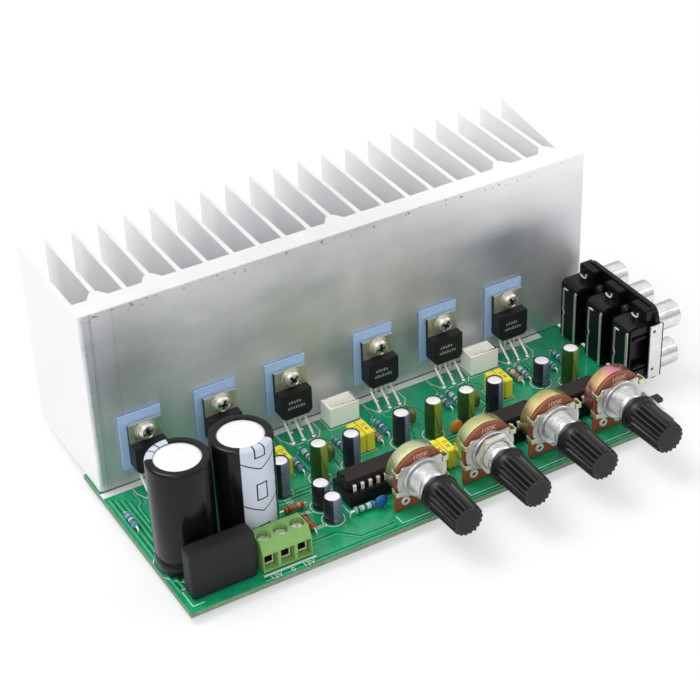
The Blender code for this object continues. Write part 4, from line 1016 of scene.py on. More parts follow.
foot_head = turned([(0, 1.6), (1.8, 1.5), (2.6, 0.8), (2.7, 0), (0, 0)], steps=28, ease=0.1)
foot_heads = repeated(
    [(moved(foot_head, turn=180, about="X"), TINNED)],
    [((x, FOOT_INSET, -BOARD_THICK),) for x in FOOT_SCREWS],
)
board_parts = [
    (slab_mesh, [MASK, LAMINATE]),
    (gap_ribbons, MASK_DARK),
    (track_ribbons, MASK_COPPER),
    (solder_cones, SOLDER),
    (solder_fillets, SOLDER),
    (foot_heads, TINNED),
]
piece("board_laminate", board_parts, ["circuit_board"])
piece("board_print", print_parts)

# %% [markdown]
# ## Power chips
# Each chip is a black moulded body on a bare metal tab, pressed on a blue insulating sheet. The
# solid already has the right form, so one copy is refined, its faces are sorted into plastic, tab
# and leads by where they lie, and Geometry Nodes set it at all six places.

# %% Chip, pad and screw
CHIP_PLASTIC = plain_finish(
    "moulded_epoxy", (0.019, 0.019, 0.020), (0.010, 0.010, 0.011), 0.40, 0.54, 2600.0, relief=0.4,
    Specular_IOR_Level=0.3,
)
CHIP_TAB = plain_finish(
    "tab_metal", (0.80, 0.77, 0.69), (0.60, 0.57, 0.50), 0.32, 0.46, 1.0, (900, 900, 300), relief=0.2,
    metal=0.85,
)
PAD_BLUE = plain_finish(
    "insulating_sheet", (0.42, 0.61, 0.88), (0.34, 0.52, 0.81), 0.45, 0.62, 700.0, relief=0.25,
    Sheen_Weight=0.15,
)
PLATED = plain_finish(
    "plated_screw", (0.90, 0.88, 0.82), (0.72, 0.70, 0.64), 0.30, 0.42, 900.0, relief=0.2, metal=0.95
)
WASHER = plain_finish(
    "passivated_washer", (0.90, 0.86, 0.68), (0.76, 0.71, 0.52), 0.3, 0.45, 800.0, relief=0.2, metal=0.85
)
# Painted shade: a dark fill set inside recesses and holes, where shade falls.
RECESS_SHADE = plain_finish(
    "recess_shadow", (0.03, 0.03, 0.03), (0.015, 0.015, 0.015), 0.6, 0.75, 900.0, relief=0.2
)
PRINT_GREY = plain_finish(
    "laser_mark", (0.40, 0.40, 0.41), (0.26, 0.26, 0.27), 0.55, 0.7, 2500.0, relief=0.2
)

BODY_FOOT, BODY_TOP, BODY_FRONT = 6.4, 15.2, -5.7
MARK_WIDTH, MARK_STEP = 0.52, 0.86
MARK_FOOT, MARK_ROW = 11.6, 1.9
chip = refined("amplifier_chip_1", 0.14)
chip.transform(Matrix.Translation((-chip_middles[0], 0, 0)))


def chip_look(centre, normal):
    if centre.z > BODY_TOP + 0.02:
        return 1
    return 2 if centre.z < BODY_FOOT - 0.02 else 0


split_looks(chip, chip_look)
marks = []
for row, (start, count) in enumerate(((-2.6, 5), (-3.0, 7))):
    for i in range(count):
        x = start + i * MARK_STEP
        z = MARK_FOOT - MARK_ROW * row
        top = z + (0.95 if i % 2 else 0.75)
        marks.append(block((x, x + MARK_WIDTH), (BODY_FRONT - 0.015, BODY_FRONT + 0.05), (z, top), 0))
chip_parts = [(chip, [CHIP_PLASTIC, CHIP_TAB, LEAD])] + [(mark, PRINT_GREY) for mark in marks]
chip_mesh = joined(chip_parts)
six = [((x, 0, 0),) for x in chip_middles]


def by_look(mesh):
    """Splits one mesh into (shape, material) parts, one for each of its materials."""
    parts = []
    for index, look in enumerate(mesh.materials):
        bm = bmesh.new()
        bm.from_mesh(mesh)
        bmesh.ops.delete(bm, geom=[f for f in bm.faces if f.material_index != index], context="FACES")
        part = bpy.data.meshes.new("part")
        bm.to_mesh(part)
        bm.free()
        part.materials.append(look)
        parts.append((part, look))
    return parts


piece(
    "power_chips",
    repeated(by_look(chip_mesh), six),
    [f"amplifier_chip_{i}" for i in range(1, 7)],
)
pad = refined("insulator_pad_1", 0.08)
pad_low, pad_high = room("insulator_pad_1")
pad.transform(Matrix.Translation((-(pad_low.x + pad_high.x) / 2, 0, 0)))
pad_places = []
for number in range(1, 7):
    low, high = room(f"insulator_pad_{number}")
    pad_places.append((((low.x + high.x) / 2, 0, 0),))
piece(
    "insulating_sheets",
    repeated([(pad, PAD_BLUE)], pad_places),
    [f"insulator_pad_{i}" for i in range(1, 7)],
)

# %% [markdown]
# The screws are pan heads with a cross recess, over a spring washer and a flat one. The head
# is turned, and the recess is cut by a cross-shaped block that narrows as a real driver does.


# %% Cross-recess screws
def cut(mesh, tools):
    """The mesh with the tool shapes cut out of it."""
    bodies = [helper("tool", tool) for tool in tools]
    group = bpy.data.collections.new("tools")
    for body in bodies:
        group.objects.link(body)
    obj = helper("blank", mesh)
    step = obj.modifiers.new("cut", "BOOLEAN")
    step.operation = "DIFFERENCE"
    step.solver = "EXACT"
    step.operand_type = "COLLECTION"
    step.collection = group
    result = evaluated(obj)
    for body in bodies:
        bpy.data.objects.remove(body, do_unlink=True)
    bpy.data.collections.remove(group)
    return result


def cross_tool(reach, thin, depth, top):
    outline = [(-reach, top + 0.3), (reach, top + 0.3)]
    outline += [(reach * 0.5, top - depth), (-reach * 0.5, top - depth)]
    upright = slab(outline, -thin, thin, "Y")
    return [upright, moved(upright, turn=90)]


SCREW_HEIGHT = 18.8
HEAD_TOP = 2.6
RECESS_TURN = 20
head_profile = [
    (0, 2.25), (1.2, 2.2), (1.95, 2.0), (2.4, 1.65), (2.55, 1.2), (2.55, 0.85), (1.5, 0.85), (0, 0.85)
]
head = turned(head_profile, steps=48, ease=0.08)
head = cut(head, [moved(tool, turn=RECESS_TURN) for tool in cross_tool(2.1, 0.5, 1.3, 2.25)])
# Painted shade: a dark cross set at the bottom of each screw's recess.
recess_shade_bar = block((-1.75, 1.75), (-0.45, 0.45), (1.0, 1.75), 0)
recess = joined([(moved(recess_shade_bar, turn=RECESS_TURN + angle), RECESS_SHADE) for angle in (0, 90)])
head.shade_smooth()
head.set_sharp_from_angle(angle=math.radians(35))
spring = turned([(1.4, 0.85), (2.85, 0.85), (2.85, 0.42), (1.4, 0.42), (1.4, 0.85)], steps=48, ease=0.1)
flat = turned([(1.4, 0.36), (3.28, 0.36), (3.28, 0.0), (1.4, 0.0), (1.4, 0.36)], steps=48, ease=0.08)
to_front = Matrix.Rotation(math.radians(90), 4, "X")
for part in (head, recess, spring, flat):
    part.transform(to_front)
SEAT = room("chip_screw_1")[0].y + HEAD_TOP
screw_places = []
for i, x in enumerate(chip_middles):
    screw_places.append(((x, SEAT, SCREW_HEIGHT), (0, 35 * i, 0)))
piece(
    "chip_screws",
    repeated([(head, PLATED), (recess, RECESS_SHADE), (spring, PLATED), (flat, WASHER)], screw_places),
    [f"chip_screw_{i}" for i in range(1, 7)],
)

# %% [markdown]
# ## Reservoir capacitors
# A drawn can in a shrunk plastic sleeve. The sleeve turns over the rim in a soft fold and leaves the
# bare top showing. The stripe that marks the minus side is printed, so it is painted by the
# material on the piece's own UV, where U runs once around and V is the height in millimetres.

# %% Sleeves with a minus stripe
CAN_TOP = plain_finish(
    "can_top", (0.90, 0.90, 0.90), (0.80, 0.80, 0.80), 0.32, 0.45, 500.0, relief=0.15, metal=0.25
)


def sleeve(name, light, dark, stripe, ink, middle, half, period, stripe_top):
    """A glossy sleeve with one printed stripe, middle and half in turns, marks every period mm."""
    made, tree, shader = finish_of(
        name, light, dark, 0.17, 0.23, 400.0, relief=0.02, Specular_IOR_Level=0.24
    )
    around, up = uv_axes(tree)
    offset = maths(tree, "SUBTRACT", around, middle)
    band = within(tree, offset, -half, half, 0.002)
    band = maths(tree, "MULTIPLY", band, maths(tree, "LESS_THAN", up, stripe_top))
    recolour(tree, shader, band, stripe)
    cell = maths(tree, "MODULO", up, period)
    side = maths(tree, "DIVIDE", maths(tree, "ABSOLUTE", offset), half)
    box_outer = maths(
        tree, "MULTIPLY", maths(tree, "LESS_THAN", side, 0.32),
        within(tree, cell, period * 0.30, period * 0.70),
    )
    box_inner = maths(
        tree, "MULTIPLY", maths(tree, "LESS_THAN", side, 0.24),
        within(tree, cell, period * 0.33, period * 0.67),
    )
    box_line = maths(tree, "SUBTRACT", box_outer, box_inner)
    slant = maths(tree, "SUBTRACT", cell, maths(tree, "MULTIPLY", side, period * 0.2))
    chevron = within(tree, slant, period * 0.015, period * 0.045)
    both = maths(tree, "MAXIMUM", box_line, chevron)
    recolour(tree, shader, maths(tree, "MULTIPLY", both, band), ink)
    return made


SLEEVE_STRIPE = sleeve(
    "reservoir_sleeve", (0.007, 0.007, 0.008), (0.004, 0.004, 0.005), (0.55, 0.60, 0.70),
    (0.02, 0.02, 0.03), 0.5, 0.1, 14.0, 36.0,
)
reservoir_low, reservoir_high = room("reservoir_capacitor_1")
RESERVOIR_R = (reservoir_high.x - reservoir_low.x) / 2
RESERVOIR_TOP = reservoir_high.z
CRIMP = 4.6


def reservoir(number, stripe_turn):
    low, high = room(f"reservoir_capacitor_{number}")
    x, y = (low.x + high.x) / 2, (low.y + high.y) / 2
    r, top = RESERVOIR_R, RESERVOIR_TOP
    skin = [
        (6.45, top - 0.35), (6.55, top - 0.08), (6.9, top), (r - 1.1, top), (r - 0.45, top - 0.12),
        (r - 0.1, top - 0.45), (r, top - 1.0),
    ]
    skin += [
        (r, CRIMP + 1.3), (r - 0.12, CRIMP + 0.7), (r - 0.5, CRIMP + 0.25), (r - 0.55, CRIMP),
        (r - 0.5, CRIMP - 0.25), (r - 0.12, CRIMP - 0.7),
    ]
    skin += [(r, CRIMP - 1.2), (r, 0.9), (r - 0.25, 0.42), (r - 0.9, 0.32), (0, 0.32)]
    shell = turned(skin, steps=96)
    lid = turned(
        [
            (0, top - 0.42), (5.6, top - 0.42), (6.2, top - 0.52), (6.5, top - 0.6), (6.5, top - 1.2),
            (0, top - 1.2),
        ],
        steps=72, ease=0.06,
    )
    parts = [(moved(shell, x, y, turn=stripe_turn), SLEEVE_STRIPE), (moved(lid, x, y), CAN_TOP)]
    for angle in (0, 60, 120):
        score = block((-3.6, 3.6), (-0.11, 0.11), (top - 0.46, top - 0.405), 0.02, 1)
        parts.append((moved(score, x, y, turn=angle + 15), CAN_TOP))
    return piece(f"reservoir_{number}", parts, [f"reservoir_capacitor_{number}"])


# The stripe of the left can faces the heatsink, that of the right one faces forward.
reservoir(1, -58)
reservoir(2, 97)

# %% [markdown]
# ## Rectifier and terminals
# The rectifier is one matt moulding. The terminal block is a green moulding with a screw well, a
# chamber and a mouth for every pole; its screws and rising cages stay on their own bodies, because
# they move.

# %% Rectifier and terminal block
RECTIFIER = plain_finish(
    "rectifier_epoxy", (0.012, 0.012, 0.013), (0.007, 0.007, 0.008), 0.5, 0.66, 1900.0, relief=0.6,
    Specular_IOR_Level=0.3,
)
TERMINAL_GREEN = plain_finish(
    "terminal_green", (0.235, 0.450, 0.130), (0.195, 0.390, 0.105), 0.34, 0.48, 600.0, relief=0.2
)
CAGE_METAL = plain_finish(
    "cage_metal", (0.95, 0.88, 0.74), (0.84, 0.77, 0.62), 0.36, 0.5, 1200.0, relief=0.2, metal=0.35
)
# Painted shade: the inner walls of each cage are painted near black.
CAGE_SHADE = plain_finish(
    "cage_inside", (0.030, 0.027, 0.022), (0.016, 0.015, 0.012), 0.5, 0.6, 1200.0, relief=0.2
)

piece(
    "rectifier_block", [(refined("bridge_rectifier", 0.2), RECTIFIER)], ["bridge_rectifier"],
)
piece(
    "terminal_moulding", [(refined("terminal_block", 0.13), TERMINAL_GREEN)], ["terminal_block"],
)
slotted = turned(
    [(0, 1.0), (1.5, 0.97), (1.8, 0.75), (1.8, 0), (0.88, 0), (0.88, -3.2), (0, -3.2)], steps=36,
    ease=0.06,
)
slotted = cut(slotted, [block((-2, 2), (-0.27, 0.27), (0.45, 1.6), 0)])
slotted.shade_smooth()
slotted.set_sharp_from_angle(angle=math.radians(35))
CAGE_WALL = 0.25
for number, slot_turn in ((1, 35), (2, -20), (3, 75)):
    low, high = room(f"terminal_screw_{number}")
    x, y = (low.x + high.x) / 2, (low.y + high.y) / 2
    screw = moved(slotted, x, y, high.z - 1.0, turn=slot_turn)
    body = f"clamp_screw_{number}"
    piece(
        f"clamp_screw_head_{number}", [(screw, PLATED)], [f"terminal_screw_{number}"],
        body,
    )
    cage = refined(f"terminal_cage_{number}", 0.08)
    low, high = room(f"terminal_cage_{number}")

    # The inner faces of the cage get the painted shade.
    def cage_look(centre, normal, low=low, high=high):
        between = low.x + CAGE_WALL < centre.x < high.x - CAGE_WALL
        inside = between and low.z + CAGE_WALL < centre.z < high.z - CAGE_WALL
        return 1 if inside and abs(normal.y) < 0.5 else 0

    split_looks(cage, cage_look)
    cage_parts = [(cage, [CAGE_METAL, CAGE_SHADE])]
    piece(
        f"clamp_cage_plate_{number}", cage_parts, [f"terminal_cage_{number}"],
        f"clamp_cage_{number}",
    )

# %% [markdown]
# ## Control chip
# A fourteen-pin chip in an open socket. The chip's pins are flat and bright at the shoulder, where
# they bend down into the socket.

# %% Control chip and socket
CHIP_TOP = plain_finish(
    "chip_epoxy", (0.018, 0.011, 0.011), (0.011, 0.007, 0.007), 0.34, 0.5, 2200.0, relief=0.4,
    Specular_IOR_Level=0.3,
)
SOCKET = plain_finish(
    "socket_plastic", (0.007, 0.007, 0.008), (0.004, 0.004, 0.005), 0.36, 0.5, 900.0, relief=0.3,
    Specular_IOR_Level=0.3,
)
chip_low, chip_high = room("control_chip")
middle = (chip_low + chip_high) / 2
CHIP_HALF = 3.15
body = block(
    (chip_low.x, chip_high.x), (middle.y - CHIP_HALF, middle.y + CHIP_HALF), (chip_low.z, chip_high.z), 0.3
)
notch = turned([(0, 0.6), (1.0, 0.6), (1.0, -0.6), (0, -0.6)], (chip_low.x, middle.y, chip_high.z), steps=24)
body = cut(body, [notch])
pin = strap(bends([(0, 0, 0), (0.72, 0, 0), (0.72, 0, -2.1)], 0.3), (0, 1, 0), 1.1, 0.22)
pin_places = []
for side in (-1, 1):
    for i in range(7):
        x = middle.x + 2.54 * (i - 3)
        pin_places.append(((x, middle.y + side * (CHIP_HALF - 0.1), chip_low.z + 1.7), (0, 0, 90 * side)))
piece(
    "control_chip_body",
    [(body, CHIP_TOP), (repeated([(pin, LEAD)], pin_places), LEAD)],
    ["control_chip"],
)
socket = refined("chip_socket", 0.15)
piece("chip_socket_frame", [(socket, SOCKET)], ["chip_socket"])

# %% [markdown]
# Two more chips stand behind the second to fourth controls, where only strips of their tops show
# between the cans. They repeat the first one with its socket, further along the same line.

# %% Chips behind the controls
REAR_CHIPS = (44.8, 67.8)
chip_set = [(body, CHIP_TOP), (repeated([(pin, LEAD)], pin_places), LEAD), (socket, SOCKET)]
piece("rear_control_chips", repeated(chip_set, [((x, 0, 0),) for x in REAR_CHIPS]))

# %% [markdown]
# ## Controls
# A rotary control is a stack: a drawn steel can with yellow passivation, a brown laminate wafer, a
# die-cast front plate with a threaded bushing, and the shaft with its knob. Each is its own
# piece here. The passivation film shimmers from yellow through green to pink, so the can's colour
# changes slowly over its surface.

# %% Finishes of the controls


def passivated(name, main, second, third):
    made, tree, shader = finish_of(
        name, main, tuple(c * 0.88 for c in main), 0.20, 0.26, 700.0, relief=0.03, metal=0.85
    )
    places = tree.nodes.new("ShaderNodeTexCoord")
    drift = add_node(tree, "ShaderNodeTexNoise", Vector=places.outputs["Object"], Scale=95.0, Detail=1.5)
    for start, end, colour in ((0.50, 0.66, second), (0.48, 0.36, third)):
        spread = add_node(tree, "ShaderNodeMapRange", Value=drift.outputs["Fac"], From_Min=start)
        spread.inputs["From Max"].default_value = end
        recolour(tree, shader, maths(tree, "MULTIPLY", spread.outputs["Result"], 0.8), colour)
    return made


CAN_LOOKS = (
    passivated("passivated_can_1", (0.86, 0.92, 0.52), (0.66, 0.78, 0.42), (0.94, 0.95, 0.58)),
    passivated("passivated_can_2", (0.84, 0.82, 0.34), (0.50, 0.66, 0.32), (0.90, 0.68, 0.30)),
    passivated("passivated_can_3", (0.84, 0.80, 0.28), (0.34, 0.62, 0.38), (0.88, 0.52, 0.32)),
    passivated("passivated_can_4", (0.88, 0.40, 0.40), (0.96, 0.86, 0.16), (0.74, 0.20, 0.36)),
)
WAFER_BROWN = plain_finish(
    "brown_laminate", (0.300, 0.085, 0.030), (0.210, 0.055, 0.020), 0.36, 0.5, 1.0, (1200, 1200, 500),
    relief=0.3,
)
WAFER_PRINT = plain_finish(
    "wafer_print", (0.80, 0.50, 0.36), (0.66, 0.38, 0.26), 0.5, 0.6, 1500.0, relief=0.2
)
DIE_CAST = plain_finish(
    "die_cast_zinc", (0.80, 0.80, 0.79), (0.54, 0.55, 0.55), 0.26, 0.46, 420.0, relief=0.4, metal=0.85
)
CLAW_YELLOW = plain_finish(
    "claw_yellow", (0.76, 0.77, 0.50), (0.58, 0.60, 0.36), 0.28, 0.4, 800.0, relief=0.1, metal=0.8
)
KNOB_BLACK = plain_finish(
    "knob_black", (0.007, 0.007, 0.008), (0.005, 0.005, 0.005), 0.30, 0.40, 1700.0, relief=0.2,
    Specular_IOR_Level=0.3,
)
KNOB_DISC = plain_finish(
    "knob_disc", (0.026, 0.026, 0.029), (0.019, 0.019, 0.021), 0.46, 0.58, 2200.0, relief=0.6
)

# %% [markdown]
# The can is turned; its claws are narrow fingers folded over the edge of the wafer and the plate.
# The bushing's thread is turned as close grooves, which at this size reads as a thread.

# %% Can, wafer and bushing
AXIS_UP = 10.2
CAN_R, CAN_BACK, CAN_FRONT = 8.2, 46.0, 50.9
WAFER_BACK, WAFER_FACE = 51.2, 52.2
PLATE_BACK, PLATE_FACE, COLLAR_FACE, BUSHING_TIP = 52.5, 53.2, 54.2, 59.5
WAFER_R, PLATE_R, COLLAR_R, BUSHING_R, SHAFT_R = 8.3, 8.0, 6.2, 4.5, 3.0
can_profile = [(0, CAN_BACK), (6.6, CAN_BACK), (7.7, CAN_BACK + 0.25), (CAN_R, CAN_BACK + 0.9)]
can_profile += [(CAN_R, CAN_FRONT), (CAN_R - 0.5, CAN_FRONT)]
can_profile += [(CAN_R - 0.5, CAN_BACK + 1.0), (0, CAN_BACK + 0.5)]
can_shape = turned(can_profile[::-1], facing="front", steps=96)

claw_shape = []
for side in (-1, 1):
    for height in (-3.3, 3.3):
        path = [(side * 8.1, -CAN_FRONT + 0.5, height), (side * 8.46, -CAN_FRONT - 0.4, height)]
        path += [(side * 8.46, -PLATE_FACE - 0.2, height), (side * 6.5, -PLATE_FACE - 0.2, height)]
        claw_shape.append(strap(bends(path, 0.3), (0, 0, 1), 1.5, 0.3))

wafer_outline = arc((0, 0), WAFER_R, 0, 180, 40) + [(-WAFER_R, -9.9), (WAFER_R, -9.9)]
wafer_shape = slab(wafer_outline, -WAFER_FACE, -WAFER_BACK, "Y", 0.08, 1)
eyelet = turned(
    [(0.62, 0.42), (0.95, 0.50), (1.28, 0.42), (1.38, 0.12), (1.38, -0.2), (0.62, -0.2), (0.62, 0.42)],
    facing="front", steps=32,
)
# Painted shade: a dark disc set inside each eyelet's hole.
eyelet_hole_shade = turned([(0, 0.10), (0.64, 0.10), (0.64, -0.2), (0, -0.2)], facing="front", steps=24)
EYELET_UP = -7.1

plate_outline = []
for angle in range(-43, 224, 3):
    a = math.radians(angle)
    z = min(PLATE_R * math.sin(a), 5.0)
    plate_outline.append((PLATE_R * math.cos(a), z))
plate_shape = slab(plate_outline, -PLATE_FACE, -PLATE_BACK, "Y", 0.18)
THREAD_PITCH = 0.75
thread = []
turns = int((BUSHING_TIP - COLLAR_FACE - 0.6) / THREAD_PITCH)
for i in range(turns):
    start = COLLAR_FACE + 0.35 + i * THREAD_PITCH
    thread += [(BUSHING_R - 0.42, start), (BUSHING_R, start + 0.28), (BUSHING_R, start + 0.40)]
bushing_profile = [
    (COLLAR_R - 0.3, PLATE_FACE - 0.1), (COLLAR_R, COLLAR_FACE - 0.55), (COLLAR_R, COLLAR_FACE - 0.2),
    (COLLAR_R - 0.2, COLLAR_FACE),
]
bushing_profile += [
    (5.5, COLLAR_FACE), (5.3, COLLAR_FACE - 0.12), (BUSHING_R + 0.1, COLLAR_FACE - 0.12),
    (BUSHING_R - 0.25, COLLAR_FACE + 0.2),
]
bushing_profile += thread + [
    (BUSHING_R - 0.3, BUSHING_TIP - 0.15), (BUSHING_R - 0.45, BUSHING_TIP),
    (SHAFT_R + 0.25, BUSHING_TIP), (SHAFT_R + 0.25, PLATE_BACK),
]
bushing_profile += [(COLLAR_R - 0.3, PLATE_BACK), (COLLAR_R - 0.3, PLATE_FACE - 0.1)]
bushing_shape = turned(bushing_profile[::-1], facing="front", steps=64)

# %% [markdown]
# The knob is a tapered grip with eighteen ribs. Each ring of points follows a wave that is flat on
# the ribs and deep between them, and the ribs run out into a plain stepped skirt at the back.


# %% Ribbed knob
RIBS = 18
KNOB_BACK, KNOB_FRONT = 61.4, 76.5
KNOB_STEPS = RIBS * 8


def knob_radius(angle, crest, depth):
    """A rib with a broad crown and a narrower groove."""
    wave = math.cos(angle * RIBS)
    groove = max(0.0, (0.15 - wave) / 1.15) ** 0.7
    return crest - depth * groove


def ribbed_knob():
    rows = [
        (SHAFT_R + 0.4, KNOB_BACK, 0),
        (5.5, KNOB_BACK, 0),
        (5.7, KNOB_BACK + 0.2, 0),
        (5.7, KNOB_BACK + 0.9, 0),
        (5.52, KNOB_BACK + 1.1, 0),
        (5.42, KNOB_BACK + 1.15, 0),
        (5.34, KNOB_BACK + 2.5, 0),
        (5.24, KNOB_BACK + 2.9, 0.05),
        (5.13, KNOB_BACK + 3.3, 0.5),
        (5.08, KNOB_BACK + 3.7, 0.78),
        (4.76, KNOB_FRONT - 0.9, 0.72),
        (4.70, KNOB_FRONT - 0.35, 0.6),
        (4.58, KNOB_FRONT - 0.06, 0.45),
        (4.42, KNOB_FRONT, 0.32),
    ]
    bm = bmesh.new()
    rings = []
    for crest, place, depth in rows:
        points = []
        for i in range(KNOB_STEPS):
            angle = math.tau * i / KNOB_STEPS
            radius = knob_radius(angle, crest, depth)
            points.append(bm.verts.new((radius * math.sin(angle), -place, radius * math.cos(angle))))
        rings.append(points)
    bm.faces.new(rings[0])
    for low, high in zip(rings, rings[1:]):
        for i in range(KNOB_STEPS):
            j = (i + 1) % KNOB_STEPS
            bm.faces.new((low[i], low[j], high[j], high[i]))
    bm.faces.new(rings[-1])
    mesh = from_bmesh(bm)
    mesh.shade_smooth()
    mesh.set_sharp_from_angle(angle=math.radians(42))
    return mesh


knob_shape = ribbed_knob()
disc_profile = [(0, 0.0), (3.6, 0.0), (3.92, 0.06), (4.08, 0.02), (4.08, -0.2), (0, -0.2)]
knob_disc = turned(disc_profile, (0, -KNOB_FRONT + 0.03, 0), "front", 64)
knob_notch = block((-0.26, 0.26), (-KNOB_FRONT - 0.01, -KNOB_FRONT + 1.6), (3.95, 4.78), 0.05, 1)
SHAFT_TIP, SHAFT_ROOT = 73.3, 52.0
shaft_profile = [(0, SHAFT_TIP), (SHAFT_R - 0.2, SHAFT_TIP), (SHAFT_R, SHAFT_TIP - 0.4)]
shaft_profile += [(SHAFT_R, SHAFT_ROOT), (0, SHAFT_ROOT)]
shaft_shape = turned(shaft_profile, facing="front", steps=40)
wafer_value = lettering("100K", 2.4, 0.03)
wafer_value.transform(Matrix.Rotation(math.radians(90), 4, "X"))
NOTCH_TURN = 150

for number, x in enumerate(control_middles, 1):
    shift = {"x": x, "z": AXIS_UP}
    rotor_body = f"control_rotor_{number}"
    can_parts = [(moved(can_shape, **shift), CAN_LOOKS[number - 1])]
    can_parts += [(moved(claw, **shift), CLAW_YELLOW) for claw in claw_shape]
    piece(f"control_cup_{number}", can_parts, [f"control_can_{number}"])
    wafer_parts = [(moved(wafer_shape, **shift), WAFER_BROWN)]
    for side in (-1, 0, 1):
        place = {"x": x + 5 * side, "y": -WAFER_FACE, "z": AXIS_UP + EYELET_UP}
        wafer_parts.append((moved(eyelet, **place), LEAD))
        wafer_parts.append((moved(eyelet_hole_shade, **place), RECESS_SHADE))
    wafer_parts.append((moved(wafer_value, x, -WAFER_FACE - 0.01, AXIS_UP + 6.4), WAFER_PRINT))
    piece(f"control_laminate_{number}", wafer_parts, [f"control_wafer_{number}"])
    bush_parts = [(moved(plate_shape, **shift), DIE_CAST), (moved(bushing_shape, **shift), DIE_CAST)]
    piece(f"control_front_{number}", bush_parts, [f"control_bushing_{number}"])
    shaft_parts = [(moved(shaft_shape, **shift), DIE_CAST)]
    piece(f"control_spindle_{number}", shaft_parts, [f"control_shaft_{number}"], rotor_body)
    knob_parts = [(knob_shape, KNOB_BLACK), (knob_disc, KNOB_DISC), (knob_notch, SOCKET)]
    knob_parts = [(moved(mesh, turn=NOTCH_TURN, about="Y"), look) for mesh, look in knob_parts]
    knob_parts = [(moved(mesh, **shift), look) for mesh, look in knob_parts]
    piece(f"control_grip_{number}", knob_parts, [f"control_knob_{number}"], rotor_body)

NUT_R = 6.3
NUT_BACK, NUT_FACE = 54.5, 56.5
nut_blank = slab(arc((0, 0), NUT_R, 0, 300, 5), -NUT_FACE, -NUT_BACK, "Y", 0.22)
nut_bore = turned(
    [
        (0, NUT_FACE + 1),
        (BUSHING_R + 0.25, NUT_FACE + 1),
        (BUSHING_R + 0.25, NUT_BACK - 1),
        (0, NUT_BACK - 1),
    ],
    facing="front",
    steps=48,
)
nut = moved(cut(nut_blank, [nut_bore]), control_middles[1], 0, AXIS_UP)
piece("bushing_nut", [(nut, PLATED)], ["control_nut"])

# %% [markdown]
# ## Jack block
# Six phono jacks share one black moulding: a wall that carries the barrels, a tower for each
# column and bent spring contacts on the towers' faces. It is set out from eased blocks, with the
# fine grooves that the real tops have.

# %% Jack moulding and contacts
JACK_BLACK = plain_finish(
    "jack_plastic", (0.004, 0.004, 0.005), (0.003, 0.003, 0.003), 0.26, 0.36, 1400.0, relief=0.15,
    Specular_IOR_Level=0.25,
)
CONTACT = plain_finish(
    "contact_metal", (0.90, 0.89, 0.86), (0.74, 0.73, 0.70), 0.36, 0.5, 900.0, relief=0.15, metal=0.9
)
BARREL = plain_finish(
    "barrel_metal", (0.86, 0.86, 0.86), (0.70, 0.70, 0.70), 0.16, 0.26, 500.0, relief=0.1, metal=1.0
)
GROUND = plain_finish(
    "ground_plate", (0.82, 0.82, 0.82), (0.70, 0.70, 0.70), 0.28, 0.42, 600.0, relief=0.3, metal=0.9
)
CORE_WHITE = plain_finish("barrel_core", (0.80, 0.80, 0.76), (0.72, 0.72, 0.68), 0.4, 0.5, 900.0, relief=0.2)

COLUMNS = (-8.65, -21.65, -34.65)
ROWS = (4.7, 18.2)
housing_low, housing_high = room("jack_housing")
TOWER_FACE, WALL_BACK = housing_low.x + 0.3, housing_high.x
WALL_FACE = WALL_BACK - 1.8
TOWER_TOP, WALL_TOP, WALL_REAR, WALL_FRONT = 20.8, 25.2, -4.0, -39.4
wall_outline = [(WALL_FRONT, 0.3), (WALL_REAR, 0.3)]
wall_outline += arc((WALL_REAR - 4, WALL_TOP - 4), 4, 0, 90, 10)
wall_outline += arc((WALL_FRONT + 4, WALL_TOP - 4), 4, 90, 180, 10)
wall = slab(wall_outline, WALL_FACE, WALL_BACK, "X", 0.2)
tower_outline = [(TOWER_FACE, 0.3), (WALL_FACE + 0.2, 0.3), (WALL_FACE + 0.2, TOWER_TOP)]
tower_outline += arc((TOWER_FACE + 1.8, TOWER_TOP - 1.8), 1.8, 90, 180, 10)
tower = slab(tower_outline, -4.45, 4.45, "Y", 0.5)
recess_tool = block((TOWER_FACE + 0.9, WALL_FACE), (-4.6, -2.3), (5.0, 18.0), 0)
end_tower = cut(tower, [recess_tool])
web = block((WALL_FACE - 6.0, WALL_FACE + 0.2), (COLUMNS[2], COLUMNS[0]), (0.3, 18.0), 0.3)
ridge = block((WALL_FACE - 2.8, WALL_BACK - 0.1), (-3.7, 3.7), (20.4, 24.7), 0.3)
groove_lines = [WALL_FACE + step for step in (-1.9, -1.0, -0.1, 0.8)]
grooves = [block((x - 0.13, x + 0.13), (-3.9, 3.9), (24.5, 24.9), 0) for x in groove_lines]
ridge = cut(ridge, grooves)
bump = turned(
    [(0, 21.9), (1.1, 21.5), (1.8, 20.6), (2.0, 19.4), (2.0, 17.5), (0, 17.5)], (WALL_FACE - 2.0, 0, 0),
    steps=32,
)
housing = [(wall, JACK_BLACK), (web, JACK_BLACK)]
for i, y in enumerate(COLUMNS):
    housing.append((moved(end_tower if i == 2 else tower, y=y), JACK_BLACK))
    housing.append((moved(ridge, y=y), JACK_BLACK))
    if i:
        housing.append((moved(bump, y=y + 6.5), JACK_BLACK))
for z in (6.2, 16.4):
    bar_across, bar_along = (TOWER_FACE + 1.8, WALL_FACE - 0.8), (WALL_FRONT + 0.35, WALL_FRONT + 2.0)
    housing.append((block(bar_across, bar_along, (z - 0.7, z + 0.7), 0.35), JACK_BLACK))
CONTACT_FACE = TOWER_FACE - 0.18
long_leg = [(CONTACT_FACE, -3.4, 0.6), (CONTACT_FACE, -3.4, 18.7), (TOWER_FACE + 0.5, -3.4, 19.9)]
arch = [
    (CONTACT_FACE, 2.4, 0.6), (CONTACT_FACE, 2.4, 8.2), (CONTACT_FACE, 1.9, 9.4),
    (CONTACT_FACE, 2.5, 10.8),
]
